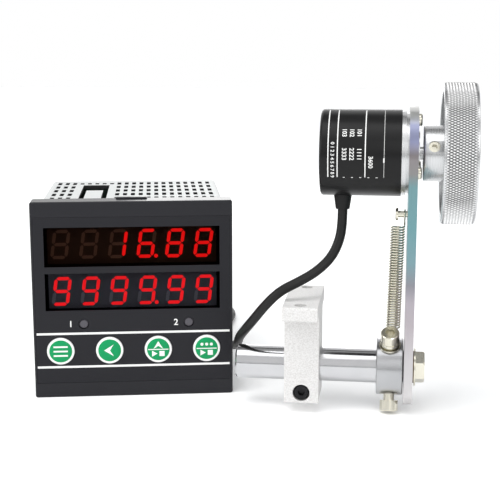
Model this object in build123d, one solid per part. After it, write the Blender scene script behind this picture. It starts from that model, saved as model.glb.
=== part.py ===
from build123d import *
import math
import os

# An electronic length counter: a panel counter with two rows of digits, and the
# measuring wheel that feeds it. The wheel sits on a rotary encoder, the encoder on a
# sprung arm, and the arm turns on the end of a rod held by a clamp block.
# Sizes are in millimetres. x runs along the rod and the wheel's axle, y away from the
# viewer and z up. The arm's near face is at x 0, the rod's axis is over y 0.

# Fits
SCREW_GAP = 0.05
SLIDE_GAP = 0.1
TURN_GAP = 0.04
SEAT_GAP = 0.15

# Counter: front frame
FRAME_W = 96.0
FRAME_T = 11.0
FRAME_WALL = 3.0
FRAME_ROUND = 1.2
POCKET_T = 0.5
POCKET_SIDE = 1.2
POCKET_TOP = 7.4
POCKET_BOTTOM = 7.2
FILM_T = 0.4
FILM_GAP = 0.1
LATCH_W = 15.0
LATCH_H = 0.8

# Counter: what the face shows. The windows fill the room that the keys and lamps leave.
WINDOW_SIDE = 6.15
WINDOWS_FROM_TOP = 12.4
WINDOWS_FROM_BOTTOM = 43.1
WINDOW_BETWEEN = 3.2
UPPER_WINDOW_MORE = 0.9
WINDOW_RIM = 1.0
WINDOW_RIM_T = 1.2
LAMP_UP = 36.4
LAMP_FROM_LEFT = 24.1
LAMP_FROM_RIGHT = 21.3
LAMP_R = 2.3
KEY_UP = 23.2
KEY_FROM_SIDE = 12.75
KEY_R = 6.6
KEY_PROUD = 0.5
KEY_RIM = 1.0
KEY_RIM_T = 0.9
KEY_STEM_R = 1.7
KEY_NAMES = ("key_set", "key_shift", "key_up", "key_reset")

# Counter: case
CASE_INSET = 2.8
CASE_L = 84.0
CASE_WALL = 2.0
CASE_ROUND = 2.8
VENT_SIDE = 5.2
VENT_W = 2.1
VENT_ROWS = 5
VENT_ROW_PITCH = 14.0
VENT_L = 9.0
VENT_REAR = 8.5
LEFT_VENT_COUNT = 3
MIDDLE_VENT_COUNT = 5
RIGHT_VENT_COUNT = 13
VENT_SHORT_L = 5.5
CLIP_W = 13.8
CLIP_TAB_W = 8.6
CLIP_SLOT_L = 56.5
CLIP_TAB_L = 35.5
CLIP_FROM_FRAME = 13.0
REAR_T = 2.5
REAR_LIP = 3.0
REAR_LIP_T = 1.6

# Counter: boards and parts inside
BOARD_T = 1.6
BOARD_EDGE = 0.3
DISPLAY_BOARD_BEHIND = 1.5
POST_R = 2.0
POST_IN = 3.2
DIGIT_SIDE_GAP = 1.35
DIGIT_END_GAP = 0.3
SWITCH_W = 6.0
SWITCH_H = 5.0
SWITCH_HOLE_DEPTH = 2.2
STEM_INSIDE = 1.0
MAIN_BOARD_Z = 24.0
RAIL_W = 2.2
RAIL_T = 1.5
MAIN_BOARD_REAR_GAP = 1.0
TERMINAL_BOARD_IN = 15.0
TRANSFORMER = (34.0, 30.0, 28.0)
TRANSFORMER_CORE_T = 9.0
CORE_PROUD = 4.0
CORE_UP = 3.0
BOBBIN_ROUND = 3.0
TRANSFORMER_AT = (-20.0, 50.0)
RELAY = (10.0, 20.0, 15.0)
RELAY_X = (10.0, 24.0)
RELAY_BACK = 18.0
CAP_R = 5.0
CAP_H = 16.0
CAP_AT = ((8.0, 26.0), (22.0, 26.0), (33.0, 38.0))
CHIP = (14.0, 14.0, 1.8)
CHIP_AT = (-20.0, 27.2)
HEADER = (40.0, 2.5, 8.0)
HEADER_X = 6.0
TERMINALS = 9
STRIP_SIDE = 7.2
STRIP_H = 14.0
STRIP_END = 2.0
STRIP_PROUD = 8.0
STRIP_MARGIN = 7.0
STRIP_GROOVE_W = 0.8
STRIP_GROOVE_DEPTH = 1.2
TERMINAL_SCREW_R = 2.6
TERMINAL_SCREW_T = 2.4
TERMINAL_SCREW_UP = 9.6
TERMINAL_SLOT_W = 0.8
TERMINAL_SLOT_DEPTH = 1.0
ENTRY_R = 1.3
ENTRY_UP = 3.8
ENTRY_DEPTH = 6.0

# Counter: where it stands beside the wheel unit
COUNTER_AT = (-129.8, 5.4)
COUNTER_TURN = 12.0

# Wheel unit: rod, clamp block and collar
ROD_R = 8.0
ROD_LEFT = 78.6
ROD_CHAMFER = 0.8
COLLAR_R = 13.2
COLLAR_W = 12.2
COLLAR_TO_ARM = 0.4
COLLAR_ROUND = 0.4
CAP_SCREW_R = 2.5
CAP_HEAD_R = 4.25
CAP_HEAD_H = 5.0
CAP_HEAD_EDGE = 0.35
HEX_KEY_R = 2.3
HEX_KEY_DEPTH = 2.6
LOWER_SCREW_SHOWS = 2.6
LOWER_SCREW_TILT = 15.0
UPPER_SCREW_TILT = 28.0
WASHER_R = 5.0
WASHER_T = 1.0
LOCK_WASHER_R = 4.4
LOCK_WASHER_T = 1.5
SPOT_DEPTH = 0.3
BLOCK_RIGHT = 38.9
BLOCK_L = 16.0
BLOCK_TOP = 32.5
BLOCK_BOTTOM = 15.5
BLOCK_BODY_W = 25.0
FLANGE_W = 48.0
FLANGE_T = 6.7
FLANGE_FILLET = 2.0
BLOCK_HOLE_PITCH = 38.0
BLOCK_HOLE_R = 2.75
BLOCK_SLIT = 1.6
CLAMP_SCREW_DOWN = 10.8
CLAMP_SCREW_R = 2.0
CLAMP_HEAD_R = 3.5
CLAMP_HEAD_H = 4.0
CLAMP_HEAD_SUNK = 0.8
CLAMP_BORE_R = 4.0
CLAMP_KEY_R = 1.73
CLAMP_KEY_DEPTH = 2.0

# Wheel unit: arm and its pivot
ARM_L = 100.0
ARM_T = 4.0
ARM_TOP_R = 21.0
ARM_FOOT_R = 17.5
BUSH_R = 6.0
BUSH_HEAD_R = 7.5
BUSH_HEAD_T = 0.6
ARM_PLAY = 0.1
PIVOT_WASHER_R = 8.8
PIVOT_WASHER_T = 0.7
BOLT_R = 4.0
BOLT_L = 22.0
BOLT_HEAD_AF = 13.0
BOLT_HEAD_T = 4.2
HEAD_CONE_OUT = 1.6
HEAD_CONE_IN = 0.5
HOOK_BELOW_AXLE = 27.5
HOOK_Y = -2.6
HOOK_SCREW_R = 1.5
HOOK_SCREW_OUT = 4.2
HOOK_HEAD_R = 2.9
HOOK_HEAD_T = 1.2
HOOK_TIP = 0.4

# Tension spring
WIRE_R = 0.375
SPRING_R = 3.0
SPRING_TURNS = 40
SPRING_BELOW_HOOK = 5.505
SPRING_FOOT = (-5.3, -0.8, 18.5)
SPRING_TO_ARM = 0.8
LOWER_LOOP_R = 3.1
LOWER_LOOP_WRAP = 285.0
LOWER_LOOP_EXIT = 4.4
UPPER_LOOP_R = 2.2
UPPER_LOOP_WRAP = 250.0

# Encoder
COVER_R = 19.5
COVER_L = 36.2
COVER_WALL = 1.2
COVER_ROUND = 1.5
FLANGE_R = 19.0
FLANGE_RING_T = 2.0
STEP_R = 18.0
STEP_T = 1.3
SPIGOT_L = 5.0
BOSS_R = 10.0
BOSS_PROUD = 0.7
BEARING_R = 6.5
BEARING_W = 5.0
BEARING_SUNK = 0.5
BEARING_RIB_R = 5.6
BEARING_RIB_L = 8.0
HOUSING_R = 8.2
ENCODER_PCD = 30.0
M3_R = 1.5
M3_HEAD_R = 2.8
M3_HEAD_T = 1.7
M3_L = 7.0
PILLAR_R = 1.7
PILLAR_AT = 15.2
SCREW_ANGLE = 90.0
PILLAR_ANGLE = 30.0
SHAFT_R = 3.0
SHAFT_IN_HUB = 16.0
DISC_HUB_R = 5.0
DISC_HUB_L = 3.4
DISC_R = 13.0
DISC_T = 0.6
SHAFT_PAST_DISC = 0.6
READ_R = 11.2
READ_GAP = 0.5
READ_W = 4.4
READ_H = 6.0
ENCODER_BOARD_R = 17.4
ENCODER_BOARD_GAP = 4.0
GLAND_FROM_END = 10.0
GLAND_R = 4.1
GLAND_TIP_R = 3.2
GLAND_L = 6.3
GLAND_NECK_R = 3.0
GLAND_INSIDE = 2.0

# Measuring wheel, 200 mm round the rim
WHEEL_ROUND = 200.0
WHEEL_W = 15.0
WHEEL_RIM = 4.0
WHEEL_WEB = 4.0
WEB_SUNK = 1.0
WHEEL_FROM_ARM = 10.5
WHEEL_EDGE = 0.5
HUB_R = 12.6
HUB_FROM_ARM = 2.4
HUB_ROUND = 0.8
SET_SCREW_R = 2.5
SET_SCREW_SUNK = 1.2
SET_SCREW_IN = 4.6
SET_SCREW_ANGLES = (20.0, 110.0)
SET_KEY_R = 1.45
SET_KEY_DEPTH = 2.5

# Cable
CABLE_R = 2.25
COIL_AT = (-136.0, 161.0)
COIL_MID_R = 26.0
COIL_PITCH = 4.95
COIL_TURNS = 2
COIL_APPROACH = 14.5
TAIL_STRAIGHT = 8.0
TIE_T = 0.6
TIE_W = 4.0
TIE_SIDE_GAP = 0.2
TIE_FACE_GAP = 0.05
TIE_TURN = 270.0
SLEEVE_R = 2.9
SLEEVE_L = 10.0
SLEEVE_BACK = 16.0
SLEEVE_X = -8.0
LEAD_R = 0.6
LEADS = 5
LEAD_RING_R = 1.35
LEAD_STRAIGHT = 1.0
MOST_ARC_TURN = 95.0

# Heights that follow from what stands on the floor
LOWER_SCREW_SEAT = COLLAR_R + LOWER_SCREW_SHOWS
LOWER_TILT = math.radians(LOWER_SCREW_TILT)
LOWER_SCREW_END = LOWER_SCREW_SEAT + CAP_HEAD_H
ROD_Z = LOWER_SCREW_END * math.cos(LOWER_TILT) + (CAP_HEAD_R - CAP_HEAD_EDGE) * math.sin(LOWER_TILT)
WHEEL_R = WHEEL_ROUND / (2 * math.pi)
CABLE_Z = TIE_T + TIE_FACE_GAP + CABLE_R


def cyl_x(radius, x0, x1, y=0.0, z=0.0):
    return Pos((x0 + x1) / 2, y, z) * Rot(0, 90, 0) * Cylinder(radius, x1 - x0)


def cyl_y(radius, y0, y1, x=0.0, z=0.0):
    return Pos(x, (y0 + y1) / 2, z) * Rot(90, 0, 0) * Cylinder(radius, y1 - y0)


def cyl_z(radius, z0, z1, x=0.0, y=0.0):
    return Pos(x, y, (z0 + z1) / 2) * Cylinder(radius, z1 - z0)


def block(x0, x1, y0, y1, z0, z1):
    centre = ((x0 + x1) / 2, (y0 + y1) / 2, (z0 + z1) / 2)
    return Pos(*centre) * Box(x1 - x0, y1 - y0, z1 - z0)


def square_tube(width, y0, y1, corner, middle):
    """A square prism along y with rounded long edges, about the height middle."""
    body = block(-width / 2, width / 2, y0, y1, middle - width / 2, middle + width / 2)
    return fillet(body.edges().filter_by(Axis.Y), corner)


def cap_screw(seat, length, radius, head_r, head_h, key_r, key_depth):
    """A socket screw along z, its head from seat upwards and its shank below."""
    screw = cyl_z(head_r, seat, seat + head_h)
    screw = chamfer(screw.edges().sort_by(Axis.Z)[-1:], CAP_HEAD_EDGE)
    screw += cyl_z(radius, seat - length, seat)
    key = Pos(0, 0, seat + head_h - key_depth) * extrude(RegularPolygon(key_r, 6), key_depth)
    return screw - key


# The counter is modelled about its own front: x across, y into the case, z up.

FACE_MIDDLE = FRAME_W / 2
CASE_W = FRAME_W - 2 * CASE_INSET
WINDOW_W = FRAME_W - 2 * WINDOW_SIDE
WINDOW_ROOM = FRAME_W - WINDOWS_FROM_TOP - WINDOWS_FROM_BOTTOM - WINDOW_BETWEEN
UPPER_WINDOW_H = (WINDOW_ROOM + UPPER_WINDOW_MORE) / 2
LOWER_WINDOW_H = UPPER_WINDOW_H - UPPER_WINDOW_MORE
UPPER_WINDOW_Z = FRAME_W - WINDOWS_FROM_TOP - UPPER_WINDOW_H / 2
LOWER_WINDOW_Z = WINDOWS_FROM_BOTTOM + LOWER_WINDOW_H / 2
DIGIT_W = WINDOW_W - 2 * DIGIT_SIDE_GAP
DIGIT_H = LOWER_WINDOW_H - 2 * DIGIT_END_GAP
LAMP_X = (LAMP_FROM_LEFT - FRAME_W / 2, FRAME_W / 2 - LAMP_FROM_RIGHT)
KEY_PITCH = (FRAME_W - 2 * KEY_FROM_SIDE) / (len(KEY_NAMES) - 1)
DISPLAY_BOARD_Y = FRAME_T + DISPLAY_BOARD_BEHIND
CASE_END = FRAME_T + CASE_L
TERMINAL_BOARD_Y = CASE_END - TERMINAL_BOARD_IN
RELAY_Y = TERMINAL_BOARD_Y - RELAY_BACK
VENT_COLUMNS = LEFT_VENT_COUNT + MIDDLE_VENT_COUNT + RIGHT_VENT_COUNT
VENT_PITCH = (CASE_W - 2 * VENT_SIDE) / (VENT_COLUMNS - 1)
REAR_END = CASE_END + REAR_T
STRIP_END_Y = REAR_END + STRIP_PROUD
CASE_IN = CASE_W / 2 - CASE_WALL
WINDOWS = ((UPPER_WINDOW_Z, UPPER_WINDOW_H), (LOWER_WINDOW_Z, LOWER_WINDOW_H))
STRIP_L = CASE_W - 2 * STRIP_SIDE
TERMINAL_PITCH = (STRIP_L - 2 * STRIP_END) / TERMINALS
STRIP_Z = (STRIP_MARGIN, FRAME_W - STRIP_MARGIN - STRIP_H)


def key_x(index):
    return (index - (len(KEY_NAMES) - 1) / 2) * KEY_PITCH


def face_holes(y0, y1):
    """The windows, key holes and lamp holes of the face, as cutters from y0 to y1."""
    holes = []
    for middle, height in WINDOWS:
        low, high = middle - height / 2, middle + height / 2
        holes.append(block(-WINDOW_W / 2, WINDOW_W / 2, y0, y1, low, high))
    for index in range(len(KEY_NAMES)):
        holes.append(cyl_y(KEY_R + SEAT_GAP, y0, y1, key_x(index), KEY_UP))
    for x in LAMP_X:
        holes.append(cyl_y(LAMP_R + SEAT_GAP, y0, y1, x, LAMP_UP))
    return holes


def front_bezel():
    body = block(-FRAME_W / 2, FRAME_W / 2, 0, FRAME_T, 0, FRAME_W)
    body = fillet(body.edges().filter_by(Axis.Y), FRAME_ROUND)
    body = chamfer(body.faces().sort_by(Axis.Y)[0].edges(), FRAME_ROUND / 3)
    room = CASE_W / 2 + SEAT_GAP
    body -= block(-room, room, FRAME_WALL, FRAME_T + 1, FACE_MIDDLE - room, FACE_MIDDLE + room)
    film_x = FRAME_W / 2 - POCKET_SIDE
    body -= block(-film_x, film_x, -1, POCKET_T, POCKET_BOTTOM, FRAME_W - POCKET_TOP)
    body -= face_holes(-1, FRAME_WALL + 1)
    for x in (-1, 1):
        for z in (-1, 1):
            at = CASE_IN - POST_IN
            body += cyl_y(POST_R, FRAME_WALL, DISPLAY_BOARD_Y, x * at, FACE_MIDDLE + z * at)
    latch_y = (FRAME_T - FRAME_WALL, FRAME_T)
    latch = block(-LATCH_W / 2, LATCH_W / 2, *latch_y, FRAME_W - 1, FRAME_W + LATCH_H)
    latch = chamfer(latch.faces().sort_by(Axis.Z)[-1].edges(), LATCH_H * 0.6)
    return body + latch


def front_overlay():
    x = FRAME_W / 2 - POCKET_SIDE - FILM_GAP
    low, high = POCKET_BOTTOM + FILM_GAP, FRAME_W - POCKET_TOP - FILM_GAP
    return block(-x, x, POCKET_T - FILM_T, POCKET_T, low, high) - face_holes(-1, FRAME_WALL)


def display_window(middle, height):
    rim_x, rim_z = WINDOW_W / 2 + WINDOW_RIM, height / 2 + WINDOW_RIM
    x, z = WINDOW_W / 2 - SLIDE_GAP, height / 2 - SLIDE_GAP
    pane = block(-x, x, POCKET_T, FRAME_WALL, middle - z, middle + z)
    rim_y = (FRAME_WALL, FRAME_WALL + WINDOW_RIM_T)
    return pane + block(-rim_x, rim_x, *rim_y, middle - rim_z, middle + rim_z)


def digit_block(middle):
    front = FRAME_WALL + WINDOW_RIM_T + SEAT_GAP
    x, z = DIGIT_W / 2, DIGIT_H / 2
    return block(-x, x, front, DISPLAY_BOARD_Y, middle - z, middle + z)


def key_cap(index):
    x = key_x(index)
    cap = cyl_y(KEY_R, -KEY_PROUD, FRAME_WALL, x, KEY_UP)
    cap = fillet(cap.edges().sort_by(Axis.Y)[0:1], KEY_PROUD * 0.7)
    cap += cyl_y(KEY_R + KEY_RIM, FRAME_WALL, FRAME_WALL + KEY_RIM_T, x, KEY_UP)
    stem_end = DISPLAY_BOARD_Y - SWITCH_H + STEM_INSIDE
    return cap + cyl_y(KEY_STEM_R, FRAME_WALL, stem_end, x, KEY_UP)


def key_switches():
    switches = []
    front = DISPLAY_BOARD_Y - SWITCH_H
    for index in range(len(KEY_NAMES)):
        x, half = key_x(index), SWITCH_W / 2
        body = block(x - half, x + half, front, DISPLAY_BOARD_Y, KEY_UP - half, KEY_UP + half)
        well = cyl_y(KEY_STEM_R + SEAT_GAP, front - 1, front + SWITCH_HOLE_DEPTH, x, KEY_UP)
        switches.append(body - well)
    return switches


def indicator_lamps():
    lamps = []
    for x in LAMP_X:
        lamp = cyl_y(LAMP_R, POCKET_T, DISPLAY_BOARD_Y, x, LAMP_UP)
        lamps.append(fillet(lamp.edges().sort_by(Axis.Y)[0:1], LAMP_R / 3))
    return lamps


def display_board():
    half = CASE_IN - BOARD_EDGE
    low, high = FACE_MIDDLE - half, FACE_MIDDLE + half
    board = block(-half, half, DISPLAY_BOARD_Y, DISPLAY_BOARD_Y + BOARD_T, low, high)
    return fillet(board.edges().filter_by(Axis.Y), CASE_ROUND)


def vent_x(column):
    return (column - (VENT_COLUMNS - 1) / 2) * VENT_PITCH


def vents(z0, z1):
    """Rows of slots across the case. The middle columns keep only a short rear slot."""
    cutters = []
    for column in range(VENT_COLUMNS):
        middle = LEFT_VENT_COUNT <= column < LEFT_VENT_COUNT + MIDDLE_VENT_COUNT
        rows = 1 if middle else VENT_ROWS
        length = VENT_SHORT_L if middle else VENT_L
        for row in range(rows):
            y = CASE_END - VENT_REAR - row * VENT_ROW_PITCH
            x = vent_x(column)
            half = VENT_W / 2
            cutters.append(block(x - half, x + half, y - length / 2, y + length / 2, z0, z1))
    return cutters


def clip_x():
    return vent_x(LEFT_VENT_COUNT + (MIDDLE_VENT_COUNT - 1) / 2)


def clip_slot(z0, z1):
    """The slot for a panel clip: a rectangle with a tongue left standing in it."""
    x, y = clip_x(), FRAME_T + CLIP_FROM_FRAME
    half, tab = CLIP_W / 2, CLIP_TAB_W / 2
    slot = block(x - half, x + half, y, y + CLIP_SLOT_L, z0, z1)
    return slot - block(x - tab, x + tab, y - 1, y + CLIP_TAB_L, z0 - 1, z1 + 1)


def case_shell():
    shell = square_tube(CASE_W, FRAME_WALL, CASE_END, CASE_ROUND, FACE_MIDDLE)
    inner_round = max(CASE_ROUND - CASE_WALL, 0.3)
    inside = square_tube(2 * CASE_IN, FRAME_WALL - 1, CASE_END + 1, inner_round, FACE_MIDDLE)
    shell -= inside
    top = FACE_MIDDLE + CASE_W / 2
    bottom = FACE_MIDDLE - CASE_W / 2
    for z0, z1 in ((top - CASE_WALL - 1, top + 1), (bottom - 1, bottom + CASE_WALL + 1)):
        shell -= vents(z0, z1)
        shell -= clip_slot(z0, z1)
    rail_y = (DISPLAY_BOARD_Y + BOARD_T + 1, TERMINAL_BOARD_Y - 1)
    rail_z = (MAIN_BOARD_Z - RAIL_T, MAIN_BOARD_Z)
    shell += block(-CASE_IN - 0.5, -CASE_IN + RAIL_W, *rail_y, *rail_z)
    shell += block(CASE_IN - RAIL_W, CASE_IN + 0.5, *rail_y, *rail_z)
    return shell


def strip_half():
    return STRIP_L / 2 + SEAT_GAP


def rear_panel():
    panel = square_tube(CASE_W, CASE_END, REAR_END, CASE_ROUND, FACE_MIDDLE)
    lip_w = 2 * (CASE_IN - SEAT_GAP)
    lip_round = max(CASE_ROUND - CASE_WALL, 0.3)
    lip = square_tube(lip_w, CASE_END - REAR_LIP, CASE_END, lip_round, FACE_MIDDLE)
    core = lip_w / 2 - REAR_LIP_T
    low, high = FACE_MIDDLE - core, FACE_MIDDLE + core
    lip -= block(-core, core, CASE_END - REAR_LIP - 1, CASE_END, low, high)
    panel += lip
    for z in STRIP_Z:
        z0, z1 = z - SEAT_GAP, z + STRIP_H + SEAT_GAP
        panel -= block(-strip_half(), strip_half(), CASE_END - REAR_LIP - 1, REAR_END + 1, z0, z1)
    return panel


def terminal_x(index):
    return (index - (TERMINALS - 1) / 2) * TERMINAL_PITCH


def terminal_strips():
    strips = []
    front = TERMINAL_BOARD_Y + BOARD_T
    for z in STRIP_Z:
        strip = block(-STRIP_L / 2, STRIP_L / 2, front, STRIP_END_Y, z, z + STRIP_H)
        for index in range(TERMINALS):
            x = terminal_x(index)
            well_y = STRIP_END_Y - TERMINAL_SCREW_T - SEAT_GAP
            well_r = TERMINAL_SCREW_R + SEAT_GAP
            strip -= cyl_y(well_r, well_y, STRIP_END_Y + 1, x, z + TERMINAL_SCREW_UP)
            entry_y = STRIP_END_Y - ENTRY_DEPTH
            strip -= cyl_y(ENTRY_R, entry_y, STRIP_END_Y + 1, x, z + ENTRY_UP)
        groove_y = (STRIP_END_Y - STRIP_GROOVE_DEPTH, STRIP_END_Y + 1)
        half = STRIP_GROOVE_W / 2
        for index in range(TERMINALS + 1):
            x = terminal_x(index) - TERMINAL_PITCH / 2
            strip -= block(x - half, x + half, *groove_y, z - 1, z + STRIP_H + 1)
        strips.append(strip)
    return strips


def terminal_screws():
    screws = []
    seat = STRIP_END_Y - TERMINAL_SCREW_T - SEAT_GAP
    for z in STRIP_Z:
        for index in range(TERMINALS):
            x, up = terminal_x(index), z + TERMINAL_SCREW_UP
            screw = cyl_y(TERMINAL_SCREW_R, seat, seat + TERMINAL_SCREW_T, x, up)
            slot_y = (seat + TERMINAL_SCREW_T - TERMINAL_SLOT_DEPTH, seat + TERMINAL_SCREW_T + 1)
            half = TERMINAL_SLOT_W / 2
            screw -= block(x - TERMINAL_SCREW_R, x + TERMINAL_SCREW_R, *slot_y, up - half, up + half)
            screws.append(screw)
    return screws


def terminal_board():
    half = CASE_IN - BOARD_EDGE
    low, high = FACE_MIDDLE - half, FACE_MIDDLE + half
    board = block(-half, half, TERMINAL_BOARD_Y, TERMINAL_BOARD_Y + BOARD_T, low, high)
    return fillet(board.edges().filter_by(Axis.Y), CASE_ROUND)


def main_board():
    half = CASE_IN - BOARD_EDGE
    y0, y1 = DISPLAY_BOARD_Y + BOARD_T + HEADER[1], TERMINAL_BOARD_Y - MAIN_BOARD_REAR_GAP
    return block(-half, half, y0, y1, MAIN_BOARD_Z, MAIN_BOARD_Z + BOARD_T)


def board_headers():
    """One pin header at each end of the main board, joining it to the upright boards."""
    width, depth, height = HEADER
    x0, x1 = HEADER_X - width / 2, HEADER_X + width / 2
    top = MAIN_BOARD_Z + BOARD_T
    front_y = DISPLAY_BOARD_Y + BOARD_T
    front = block(x0, x1, front_y, front_y + depth, MAIN_BOARD_Z, top + height)
    front += block(x0, x1, front_y + depth, front_y + 2 * depth, top, top + height)
    rear = block(x0, x1, TERMINAL_BOARD_Y - depth - 1, TERMINAL_BOARD_Y, top, top + height)
    return [front, rear]


def on_main_board(centre, size):
    x, y = centre
    base = MAIN_BOARD_Z + BOARD_T
    half_x, half_y = size[0] / 2, size[1] / 2
    return block(x - half_x, x + half_x, y - half_y, y + half_y, base, base + size[2])


def transformer():
    width, depth, height = TRANSFORMER
    x, y = TRANSFORMER_AT
    base = MAIN_BOARD_Z + BOARD_T
    bobbin = on_main_board(TRANSFORMER_AT, (width - 2 * CORE_PROUD, depth, height - CORE_PROUD))
    core_y = (y - TRANSFORMER_CORE_T / 2, y + TRANSFORMER_CORE_T / 2)
    core = block(x - width / 2, x + width / 2, *core_y, base + CORE_UP, base + height)
    return fillet(bobbin.edges().filter_by(Axis.Z), BOBBIN_ROUND) + core


def output_relays():
    return [on_main_board((x, RELAY_Y), RELAY) for x in RELAY_X]


def capacitors():
    base = MAIN_BOARD_Z + BOARD_T
    cans = []
    for x, y in CAP_AT:
        can = cyl_z(CAP_R, base, base + CAP_H, x, y)
        cans.append(fillet(can.edges().sort_by(Axis.Z)[-1:], CAP_R / 6))
    return cans


def controller_chip():
    return on_main_board(CHIP_AT, CHIP)


# The wheel unit is modelled with the rod's axis at z 0 and lifted to its height later.

COLLAR_X = -(COLLAR_TO_ARM + COLLAR_W / 2)
BLOCK_X = -(BLOCK_RIGHT + BLOCK_L / 2)
HEAD_X = ARM_T + ARM_PLAY
WASHER_X = HEAD_X + BUSH_HEAD_T
BOLT_HEAD_X = WASHER_X + PIVOT_WASHER_T
UPPER_SEAT = COLLAR_R - SPOT_DEPTH
LOOP_SEAT = UPPER_SEAT + WASHER_T
LOOP_T = 2 * WIRE_R + 2 * SLIDE_GAP
UPPER_SCREW_SEAT = LOOP_SEAT + LOOP_T + LOCK_WASHER_T
TILT = Pos(COLLAR_X, 0, 0) * Rot(UPPER_SCREW_TILT, 0, 0)
DOWN = Pos(COLLAR_X, 0, 0) * Rot(180 - LOWER_SCREW_TILT, 0, 0)
HOOK_UP = ARM_L - HOOK_BELOW_AXLE
SPRING_L = HOOK_UP - SPRING_BELOW_HOOK - SPRING_FOOT[2]
SPRING_PITCH = SPRING_L / (SPRING_TURNS - 0.25)


def support_rod():
    rod = cyl_x(ROD_R, -ROD_LEFT, -ARM_PLAY)
    rod = chamfer(rod.edges().filter_by(GeomType.CIRCLE), ROD_CHAMFER)
    return rod - cyl_x(BOLT_R + SCREW_GAP, BOLT_HEAD_X - BOLT_L - 1, 1)


def tension_collar():
    collar = cyl_x(COLLAR_R, COLLAR_X - COLLAR_W / 2, COLLAR_X + COLLAR_W / 2)
    collar = chamfer(collar.edges().filter_by(GeomType.CIRCLE), COLLAR_ROUND)
    collar -= cyl_x(ROD_R + SCREW_GAP, COLLAR_X - COLLAR_W, COLLAR_X + COLLAR_W)
    for place in (TILT, DOWN):
        collar -= place * cyl_z(CAP_SCREW_R + SCREW_GAP, ROD_R - 1, COLLAR_R + 1)
    return collar - TILT * cyl_z(WASHER_R + SEAT_GAP, UPPER_SEAT, COLLAR_R + 1)


def collar_screws():
    sizes = (CAP_SCREW_R, CAP_HEAD_R, CAP_HEAD_H, HEX_KEY_R, HEX_KEY_DEPTH)
    bottom = ROD_R + 2 * SCREW_GAP
    upper = cap_screw(UPPER_SCREW_SEAT, UPPER_SCREW_SEAT - bottom, *sizes)
    lower = cap_screw(LOWER_SCREW_SEAT, LOWER_SCREW_SEAT - bottom, *sizes)
    return [TILT * upper, DOWN * lower]


def collar_washers():
    hole = CAP_SCREW_R + SCREW_GAP
    flat = cyl_z(WASHER_R, UPPER_SEAT, LOOP_SEAT) - cyl_z(hole, UPPER_SEAT - 1, LOOP_SEAT + 1)
    lock_z = LOOP_SEAT + LOOP_T
    lock = cyl_z(LOCK_WASHER_R, lock_z, lock_z + LOCK_WASHER_T)
    lock -= cyl_z(hole, lock_z - 1, lock_z + LOCK_WASHER_T + 1)
    return [TILT * flat, TILT * lock]


def clamp_block():
    x0, x1 = BLOCK_X - BLOCK_L / 2, BLOCK_X + BLOCK_L / 2
    body_y, flange_y = BLOCK_BODY_W / 2, FLANGE_W / 2
    under = BLOCK_TOP - FLANGE_T
    body = block(x0, x1, -body_y, body_y, -BLOCK_BOTTOM, BLOCK_TOP)
    body += block(x0, x1, -flange_y, flange_y, under, BLOCK_TOP)
    inner = [e for e in body.edges().filter_by(Axis.X)
             if abs(e.center().Z - under) < 0.01 and abs(e.center().Y) < body_y + 0.01]
    body = fillet(inner, FLANGE_FILLET)
    outer = [e for e in body.edges().filter_by(Axis.X) if abs(e.center().Y) > flange_y - 0.01]
    body = fillet(outer, FLANGE_FILLET / 2)
    body -= cyl_x(ROD_R + SCREW_GAP, x0 - 1, x1 + 1)
    slit = BLOCK_SLIT / 2
    body -= block(x0 - 1, x1 + 1, -slit, slit, -BLOCK_BOTTOM - 1, 0)
    for y in (-BLOCK_HOLE_PITCH / 2, BLOCK_HOLE_PITCH / 2):
        body -= cyl_z(BLOCK_HOLE_R, under - 1, BLOCK_TOP + 1, BLOCK_X, y)
    seat_y = -body_y + CLAMP_HEAD_SUNK + CLAMP_HEAD_H
    body -= cyl_y(CLAMP_BORE_R, -body_y - 1, seat_y, BLOCK_X, -CLAMP_SCREW_DOWN)
    hole_r = CLAMP_SCREW_R + SCREW_GAP
    return body - cyl_y(hole_r, seat_y - 1, body_y + 1, BLOCK_X, -CLAMP_SCREW_DOWN)


def clamp_screw():
    sizes = (CLAMP_SCREW_R, CLAMP_HEAD_R, CLAMP_HEAD_H, CLAMP_KEY_R, CLAMP_KEY_DEPTH)
    length = BLOCK_BODY_W - CLAMP_HEAD_SUNK - CLAMP_HEAD_H
    seat_y = BLOCK_BODY_W / 2 - length
    place = Pos(BLOCK_X, seat_y, -CLAMP_SCREW_DOWN) * Rot(90, 0, 0)
    return place * cap_screw(0, length, *sizes)


def pivot_bush():
    bush = cyl_x(BUSH_R, -ARM_PLAY, HEAD_X) + cyl_x(BUSH_HEAD_R, HEAD_X, WASHER_X)
    return bush - cyl_x(BOLT_R + SCREW_GAP, -1, WASHER_X + 1)


def pivot_washer():
    ring = cyl_x(PIVOT_WASHER_R, WASHER_X, BOLT_HEAD_X)
    return ring - cyl_x(BOLT_R + SCREW_GAP, WASHER_X - 1, BOLT_HEAD_X + 1)


def pivot_bolt():
    corner = BOLT_HEAD_AF / math.sqrt(3)
    head = Rot(0, 0, 90) * extrude(RegularPolygon(corner, 6), BOLT_HEAD_T)
    cone = Pos(0, 0, BOLT_HEAD_T / 2) * Cone(corner + HEAD_CONE_OUT, corner - HEAD_CONE_IN, BOLT_HEAD_T)
    head = head & cone
    bolt = Pos(BOLT_HEAD_X, 0, 0) * Rot(0, 90, 0) * Rot(0, 0, 90) * head
    return bolt + cyl_x(BOLT_R, BOLT_HEAD_X - BOLT_L, BOLT_HEAD_X)


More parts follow.
